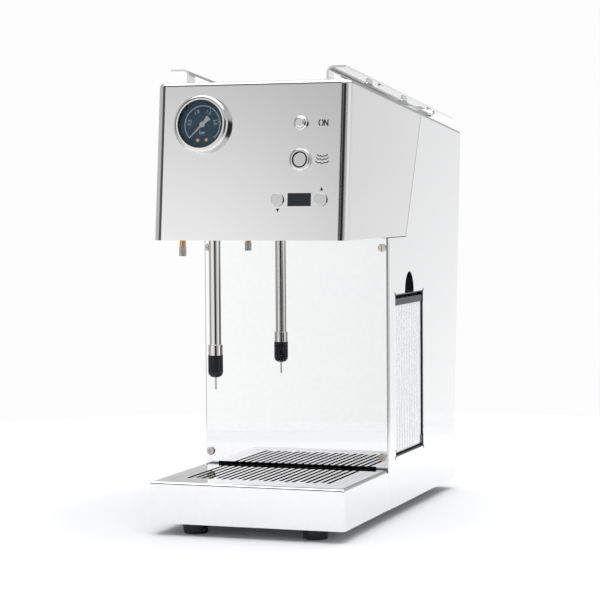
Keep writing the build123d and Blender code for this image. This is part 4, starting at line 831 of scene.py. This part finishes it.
@dataclass
class PressureGauge:
    """The pressure gauge: printed scale, numerals and dial screws.

    Attributes:
        fascia: panel that it sits in.
        centre: its middle, across and down from the panel's top edge.
        dial: height of the dial's face out of the panel.
        ink: thickness of the print.
        sweep: first and last angle of the scale in degrees.
        scale_radius: radius of the printed arc.
        scale_stroke: thickness of the arc.
        ticks: number of divisions of the scale.
        long_every: how many divisions lie between two long marks.
        long_mark: length and thickness of a long mark.
        short_mark: length and thickness of a short mark.
        letter: height of the lettering, roughly.
        letter_lift: how far the lettering stands off the dial.
        numeral_radius: how far out the numerals sit.
        numerals: angle in degrees to numeral.
        unit_drop: how far the unit sits below the middle.
        screws: each dial screw's place from the middle, and the angle of its slot.
    """

    fascia: Fascia
    centre: Point = (-0.0473, 0.0398)
    dial: float = 0.0017
    ink: float = 0.00005
    sweep: tuple[float, float] = (225.0, -45.0)
    scale_radius: float = 0.0174
    scale_stroke: float = 0.0007
    ticks: int = 25
    long_every: int = 5
    long_mark: tuple[float, float] = (0.0019, 0.00042)
    short_mark: tuple[float, float] = (0.0010, 0.00024)
    letter: float = 0.0046
    letter_lift: float = 0.00003
    numeral_radius: float = 0.0126
    numerals: tuple[tuple[float, str], ...] = ((171.0, "0.5"), (117.0, "1.0"), (63.0, "1.5"), (9.0, "2.0"))
    unit_drop: float = 0.0074
    screws: tuple[tuple[Point, float], ...] = (((-0.0042, -0.0144), 35.0), ((0.0042, -0.0144), 70.0))

    def _scale(self, bm: bmesh.types.BMesh) -> None:
        """The arc with its division marks.

        Args:
            bm: mesh that they are added to.
        """
        first, last = self.sweep
        add_prism(bm, stroke(arc((0, 0), self.scale_radius, first, last, 72), self.scale_stroke), 0, self.ink)
        for index in range(self.ticks + 1):
            angle = math.radians(first + (last - first) * index / self.ticks)
            length, width = self.short_mark if index % self.long_every else self.long_mark
            ray = Vector((math.cos(angle), math.sin(angle)))
            path = [tuple(ray * reach) for reach in (self.scale_radius - length, self.scale_radius)]
            add_prism(bm, stroke(path, width), 0, self.ink)

    def _screws(self, bm: bmesh.types.BMesh) -> None:
        """The two screws that hold the dial."""
        for middle, turn in self.screws:
            DialScrew().add(bm, middle, turn)

    def build(self, wardrobe: Wardrobe) -> list[bpy.types.Object]:
        """Prints the dial and adds its screws.

        Args:
            wardrobe: the finishes.

        Returns:
            The pieces on the dial.
        """
        face = self.fascia.plane(*self.centre, self.dial)
        printed = [mesh_object("dial_scale", self._scale, face)]
        for index, (degrees, numeral) in enumerate(self.numerals):
            turn = math.radians(degrees)
            out = Vector((math.cos(turn), math.sin(turn), 0.0)) * self.numeral_radius
            spot = face @ Matrix.Translation(out + Vector((0.0, 0.0, self.letter_lift)))
            spot = spot @ Matrix.Rotation(turn - math.pi / 2, 4, "Z")
            printed.append(add_text(f"dial_numeral_{index}", numeral, self.letter, spot, self.ink))
        unit = face @ Matrix.Translation((0.0, -self.unit_drop, self.letter_lift))
        printed.append(add_text("dial_unit", "bar", self.letter, unit, self.ink))
        screws = mesh_object("dial_screws", self._screws, face)
        for piece in printed:
            wardrobe.dress(piece, wardrobe.PRINT)
        wardrobe.dress(screws, wardrobe.BRASS)
        for piece in (*printed, screws):
            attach(piece, Body.HOUSING.value)
        return [*printed, screws]


@dataclass
class DressedSolids:
    """A sub-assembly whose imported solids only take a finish.

    Attributes:
        finishes: each solid's name and its finish.
    """

    finishes: dict[str, Finish]

    def build(self, nodes: dict[str, bpy.types.Object], wardrobe: Wardrobe) -> None:
        """Dresses the solids.

        Args:
            nodes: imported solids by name.
            wardrobe: the finishes.
        """
        for name, finish in self.finishes.items():
            wardrobe.dress(nodes[name], finish)


@dataclass
class Housing(DressedSolids):
    """Sheet-steel housing with its top, rails, plate and inner works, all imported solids."""

    finishes: dict[str, Finish] = field(
        default_factory=lambda: {
            "front_hood": Wardrobe.SATIN,
            "rear_shell": Wardrobe.SHELL,
            "top_plate": Wardrobe.MIRROR,
            "cup_rail_left": Wardrobe.MIRROR,
            "cup_rail_right": Wardrobe.MIRROR,
            "back_plate": Wardrobe.MIRROR,
            "hood_floor": Wardrobe.ZINC,
            "chassis_plate": Wardrobe.ZINC,
            "boiler_shelf": Wardrobe.ZINC,
            "housing_screws": Wardrobe.NUT,
            "rail_screws": Wardrobe.BRIGHT,
            # tray_seal is a black strip standing in for the shadow in the gap between the tray and the plate
            "tray_seal": Wardrobe.RUBBER,
            "feet": Wardrobe.RUBBER,
            "tank_bay": Wardrobe.BLACK,
            "tank_coupling": Wardrobe.BLACK,
            "pump": Wardrobe.BLACK,
            "pump_mounts": Wardrobe.RUBBER,
            "suction_hose": Wardrobe.SILICONE,
            "drain_pipe": Wardrobe.SILICONE,
            "boiler": Wardrobe.COPPER,
            "feed_pipe": Wardrobe.COPPER,
            "steam_pipe": Wardrobe.COPPER,
            "wand_pipe": Wardrobe.COPPER,
            "gauge_pipe": Wardrobe.COPPER,
            "heating_element": Wardrobe.BRIGHT,
            "safety_valve": Wardrobe.BRASS,
            "steam_valve": Wardrobe.BRASS,
            "control_box": Wardrobe.BLACK,
            "control_board": Wardrobe.BOARD,
            "power_inlet": Wardrobe.BLACK,
        }
    )


@dataclass
class WindowGapShade:
    """Black ring in the nozzle's rubber finish round the inside of the tank's window, standing in for the
    shade in the gap between the tank and the window's edge.

    Attributes:
        y: the window's sides.
        z: its foot and top.
        x: how far the ring reaches, from its inner to its outer face.
        clear: play to the sheet's folded edge.
        sides: thickness at the front side, rear side, foot and top.
        round: corner radius.
    """

    y: Point = (-0.0469, 0.0531)
    z: Point = (0.0580, 0.2186)
    x: Point = (0.0890, 0.0943)
    clear: float = 0.00125
    sides: tuple[float, float, float, float] = (0.0006, 0.0011, 0.0011, 0.0013)
    round: float = 0.0016

    def _loop(self, inset: tuple[float, float, float, float]) -> list[Point]:
        """Rounded rectangle inside the window.

        Args:
            inset: how far in at the front side, rear side, foot and top.

        Returns:
            Points as Y and Z, counter-clockwise.
        """
        across = (self.y[0] + inset[0], self.y[1] - inset[1])
        return rounded(across, (self.z[0] + inset[2], self.z[1] - inset[3]), self.round)

    def _ring(self, bm: bmesh.types.BMesh) -> None:
        """The painted-shade ring, closed.

        Args:
            bm: mesh that it is added to.
        """
        outer = self._loop((self.clear,) * 4)
        inner = self._loop(tuple(self.clear + side for side in self.sides))
        rims = ((outer, self.x[0]), (outer, self.x[1]), (inner, self.x[1]), (inner, self.x[0]))
        loops = [[bm.verts.new((x, *point)) for point in path] for path, x in rims]
        for one, other in zip(loops, loops[1:] + loops[:1]):
            for index in range(len(one)):
                after = (index + 1) % len(one)
                bm.faces.new((one[index], one[after], other[after], other[index]))

    def build(self, wardrobe: Wardrobe) -> list[bpy.types.Object]:
        """Fits the black ring of painted gap shade.

        Args:
            wardrobe: the finishes.

        Returns:
            The ring in a list.
        """
        # a black ring standing in for the shade in the gap round the tank
        gap_shade = mesh_object("window_gap_shade", self._ring, Matrix())
        wardrobe.dress(gap_shade, wardrobe.NOZZLE)
        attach(gap_shade, Body.HOUSING.value)
        return [gap_shade]


@dataclass
class TankShadePieces:
    """Black rim along the tank's top edge and the two pads at its foot, standing in for the shade in the gaps
    above the tank and at its lower corners; they slide out with it.

    Attributes:
        x: how far the pieces reach, from inside the tank's face to just proud of it.
        pieces: each piece's sides along Y, and its foot and top.
        round: corner radius.
        step: width and height of the softening step round the outer face.
    """

    x: Point = (0.0925, 0.0942)
    pieces: tuple[tuple[Point, Point], ...] = (
        ((-0.0440, 0.0502), (0.2064, 0.2130)),
        ((0.0452, 0.0500), (0.0622, 0.0712)),
        ((-0.0438, -0.0405), (0.0622, 0.0664)),
    )
    round: float = 0.0011
    step: float = 0.0003

    def _moulding(self, bm: bmesh.types.BMesh) -> None:
        """Rounded pads with a softened outer rim.

        Args:
            bm: mesh that they are added to.
        """
        shoulder = self.x[1] - self.step
        for across, up in self.pieces:
            add_prism(bm, rounded(across, up, self.round), self.x[0], shoulder)
            inner = tuple((low + self.step, high - self.step) for low, high in (across, up))
            add_prism(bm, rounded(*inner, self.round - self.step), shoulder, self.x[1])

    def build(self, wardrobe: Wardrobe) -> list[bpy.types.Object]:
        """Fits the black pieces of painted shade.

        Args:
            wardrobe: the finishes.

        Returns:
            The trim in a list.
        """
        sideways = Matrix(((0, 0, 1, 0), (1, 0, 0, 0), (0, 1, 0, 0), (0, 0, 0, 1)))
        # black pieces standing in for the shade at the tank's top edge and lower corners
        shade_pieces = mesh_object("tank_shade_pieces", self._moulding, sideways)
        wardrobe.dress(shade_pieces, wardrobe.NOZZLE)
        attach(shade_pieces, Body.TANK.value)
        return [shade_pieces]


@dataclass
class Controls(DressedSolids):
    """Gauge body, buttons, keys and display."""

    finishes: dict[str, Finish] = field(
        default_factory=lambda: {
            "gauge_case": Wardrobe.BLACK,
            "gauge_bezel": Wardrobe.BRIGHT,
            "gauge_movement": Wardrobe.BRASS,
            "gauge_dial": Wardrobe.DIAL,
            "gauge_pointer": Wardrobe.NEEDLE,
            "gauge_glass": Wardrobe.GLASS,
            "power_switch": Wardrobe.BRIGHT,
            "power_button": Wardrobe.BRIGHT,
            "steam_switch": Wardrobe.BRIGHT,
            "steam_light_ring": Wardrobe.BLACK,
            "steam_button": Wardrobe.CAP,
            "switch_nuts": Wardrobe.BRIGHT,
            "down_key": Wardrobe.CAP,
            "up_key": Wardrobe.CAP,
            "display_window": Wardrobe.DISPLAY,
        }
    )


@dataclass
class Wand(DressedSolids):
    """Ball-jointed steam wand and the small drain outlet beside it."""

    finishes: dict[str, Finish] = field(
        default_factory=lambda: {
            "wand_ball": Wardrobe.BRIGHT,
            "wand_tube": Wardrobe.BRIGHT,
            "wand_collar": Wardrobe.BRIGHT,
            "temperature_probe": Wardrobe.BRIGHT,
            "wand_nut": Wardrobe.BRASS,
            "wand_socket": Wardrobe.BRASS,
            "wand_seat": Wardrobe.SILICONE,
            "wand_tip": Wardrobe.NOZZLE,
            "drain_stem": Wardrobe.BRASS,
            "drain_nozzle": Wardrobe.NUT,
        }
    )


@dataclass
class WaterParts(DressedSolids):
    """Drip tray with its grille, and the slide-out water tank."""

    finishes: dict[str, Finish] = field(
        default_factory=lambda: {
            "drip_tray": Wardrobe.TRAY,
            "drip_grille": Wardrobe.TRAY,
            "water_tank": Wardrobe.TANK,
            "tank_outlet": Wardrobe.TANK,
        }
    )


@dataclass(frozen=True)
class Wall:
    """One upright strip of the room around the machine.

    Attributes:
        start: heading where it begins, in degrees from straight ahead towards +X.
        end: heading where it ends.
        fade: width of its soft ends in degrees.
        levels: pairs of elevation in degrees and brightness, from low to high.
    """

    start: float
    end: float
    fade: float
    levels: tuple[tuple[float, float], ...]


@dataclass
class Studio:
    """Pale floor, soft light and the camera.

    Attributes:
        eye: the camera's place.
        lens: its focal length in millimetres on a 36 mm sensor.
        heading: how far round to the right it stands, in degrees.
        drop: how far it looks down, in degrees.
        roll: how far it leans, in degrees.
        floor_radius: the floor's radius.
        floor_solid: share of the radius where the floor begins to fade, and where it has gone.
        backdrop: brightness of the pale backdrop.
        side_wall: brightness of the room to the sides and behind.
        overhead: brightness of the lamps overhead.
        ceiling: pairs of elevation and share of the overhead light.
        walls: the room's strips, each over the ones before it.
        key_place: where the lamp hangs.
        key_aim: what it points at.
        key_size: its side.
        key_power: its power in watts.
    """

    eye: tuple[float, float, float] = (0.6778, -1.990, 0.3190)
    lens: float = 126.0
    heading: float = 19.2853
    drop: float = 2.9990
    roll: float = -0.3863
    floor_radius: float = 0.95
    floor_solid: tuple[float, float] = (0.7, 0.98)
    backdrop: float = 0.982
    side_wall: Colour = (0.96, 0.965, 0.98)
    overhead: float = 2.35
    ceiling: tuple[tuple[float, float], ...] = ((44.0, 0.0), (56.0, 1.0))
    walls: tuple[Wall, ...] = (
        # behind, to the right and to the left
        Wall(112.0, 200.0, 8.0, ((-8.0, 1.2), (-2.0, 1.06), (3.0, 0.97), (10.0, 0.42), (40.0, 0.4))),
        Wall(-200.0, -128.0, 8.0, ((-8.0, 1.12), (-2.0, 1.02), (4.0, 0.95), (10.0, 0.42), (40.0, 0.4))),
        # the right side, with a greyer strip behind it, a low dark one and a grey one in front
        Wall(24.0, 112.0, 40.0, ((0.0, 0.98), (10.0, 0.98), (40.0, 0.6))),
        Wall(146.0, 164.0, 6.0, ((-6.0, 0.96), (1.0, 0.78), (5.0, 0.76), (10.0, 0.42), (40.0, 0.4))),
        Wall(102.0, 138.0, 4.0, (
            (-9.0, 0.75), (-7.5, 0.06), (-2.5, 0.06), (-0.5, 0.96), (10.0, 0.6), (40.0, 0.4),
        )),
        Wall(30.0, 66.0, 24.0, ((0.0, 0.42), (10.0, 0.42), (40.0, 0.4))),
        # the left side
        Wall(-135.0, -56.0, 6.0, ((-4.0, 0.4), (4.0, 0.6), (40.0, 0.5))),
        # the white card that the front shows, and the darker room round it
        Wall(-34.0, -12.0, 18.0, ((3.0, 1.12), (9.0, 1.22), (15.5, 0.6), (26.0, 0.12), (48.0, 0.05))),
        Wall(-58.0, -28.0, 4.0, ((1.0, 0.95), (5.0, 0.1), (48.0, 0.03))),
        Wall(-19.0, -6.0, 7.0, ((0.0, 0.99), (6.0, 0.8), (16.0, 0.42), (40.0, 0.1))),
        # ahead: a dark bar at the hood's height, and a dark strip beside it
        Wall(-12.0, 8.0, 8.0, (
            (-8.5, 0.8), (1.0, 0.75), (6.0, 0.7), (8.5, 0.01), (16.0, 0.01), (20.0, 0.7), (48.0, 0.3),
        )),
        Wall(8.0, 40.0, 8.0, (
            (-8.5, 0.8), (-6.5, 0.03), (16.0, 0.008), (20.0, 0.7), (36.0, 0.7), (48.0, 0.18),
        )),
    )
    key_place: tuple[float, float, float] = (1.0, 1.1, 1.9)
    key_aim: tuple[float, float, float] = (0.0, 0.0, 0.2)
    key_size: float = 0.7
    key_power: float = 4.0

    def _camera(self) -> None:
        """Sets the camera up: turned round to its heading, then tipped down and leaned."""
        data = bpy.data.cameras.new("camera")
        data.lens, data.sensor_width = self.lens, 36.0
        camera = bpy.data.objects.new("camera", data)
        turns = ((self.heading, "Z"), (90.0 - self.drop, "X"), (self.roll, "Z"))
        place = Matrix.Translation(self.eye)
        for degrees, axis in turns:
            place = place @ Matrix.Rotation(math.radians(degrees), 4, axis)
        camera.matrix_world = place
        bpy.context.scene.collection.objects.link(camera)
        bpy.context.scene.camera = camera

    def _floor(self) -> None:
        """Lays a round floor that fades into the backdrop at its rim."""
        rim = arc((0, 0), self.floor_radius, 0, 357, 119)
        floor = mesh_object("floor", lambda bm: add_prism(bm, rim, -0.002, 0.0), Matrix())
        material = bpy.data.materials.new("floor_paper")
        material.use_nodes = True
        g = Graph(material.node_tree)
        shader = material.node_tree.nodes["Principled BSDF"]
        place = g.add("ShaderNodeTexCoord").outputs["Object"]
        noise = g.add("ShaderNodeTexNoise", {"Vector": place, "Scale": 300.0, "Detail": 4.0}).outputs[0]
        reach = g.add("ShaderNodeVectorMath", {0: place}, operation="LENGTH").outputs["Value"]
        solid = g.add(
            "ShaderNodeMapRange",
            {"Value": reach, "From Min": self.floor_radius * self.floor_solid[0],
             "From Max": self.floor_radius * self.floor_solid[1], "To Min": 1.0, "To Max": 0.0},
        )
        links = material.node_tree.links
        links.new(g.blend(noise, (0.885, 0.89, 0.90), (0.915, 0.92, 0.927)), shader.inputs["Base Color"])
        links.new(solid.outputs[0], shader.inputs["Alpha"])
        shader.inputs["Roughness"].default_value = 0.7
        shader.inputs["Specular IOR Level"].default_value = 0.1
        floor.data.materials.append(material)

    def _sky(self) -> None:
        """Lights the room: its strips one over another, the lamps overhead and the plain backdrop."""
        world = bpy.data.worlds.new("studio")
        world.use_nodes = True
        bpy.context.scene.world = world
        g = Graph(world.node_tree)
        ray = g.add("ShaderNodeTexCoord").outputs["Generated"]
        apart = g.add("ShaderNodeSeparateXYZ", {0: ray})
        ahead = g.add("ShaderNodeMath", {0: apart.outputs[1], 1: -1.0}, operation="MULTIPLY").outputs[0]
        heading = g.add("ShaderNodeMath", {0: apart.outputs[0], 1: ahead}, operation="ARCTAN2").outputs[0]
        height = apart.outputs[2]
        tone: object = self.side_wall
        for wall in self.walls:
            mask = g.band(heading, math.radians(wall.start), math.radians(wall.end), math.radians(wall.fade))
            level = g.ramp(height, [(math.sin(math.radians(up)), value) for up, value in wall.levels])
            tone = g.blend(mask, tone, level)
        ceiling = g.ramp(height, [(math.sin(math.radians(up)), value) for up, value in self.ceiling])
        tone = g.blend(ceiling, tone, (self.overhead, self.overhead, self.overhead))
        seen = g.add("ShaderNodeLightPath").outputs["Is Camera Ray"]
        shown = g.blend(seen, tone, (self.backdrop, self.backdrop, self.backdrop))
        world.node_tree.links.new(shown, world.node_tree.nodes["Background"].inputs["Color"])

    def _key(self) -> None:
        """Hangs a soft square lamp behind the machine, above its right side."""
        data = bpy.data.lights.new("key", "AREA")
        data.size, data.energy = self.key_size, self.key_power
        lamp = bpy.data.objects.new("key", data)
        lamp.location = self.key_place
        lamp.rotation_mode = "QUATERNION"
        lamp.rotation_quaternion = (Vector(self.key_aim) - lamp.location).to_track_quat("-Z", "Y")
        lamp.visible_camera = False
        bpy.context.scene.collection.objects.link(lamp)

    def build(self) -> None:
        """Sets the stage."""
        bpy.context.scene.view_settings.view_transform = "Standard"
        self._camera()
        self._floor()
        self._sky()
        self._key()


def main() -> None:
    """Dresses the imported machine, adds its print and sets the stage."""
    logging.basicConfig(level=logging.INFO, format="%(name)s: %(message)s")
    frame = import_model()
    nodes = frame["nodes"]
    wardrobe = Wardrobe()
    Studio().build()
    fascia = Fascia()
    for part in (Housing(), Controls(), Wand(), WaterParts()):
        part.build(nodes, wardrobe)
        LOG.info("%s dressed", type(part).__name__)
    for part in (fascia, PressureGauge(fascia), WindowGapShade(), TankShadePieces()):
        for piece in part.build(wardrobe):
            LOG.info("%s added", piece.name)


if __name__ == "__main__":
    main()
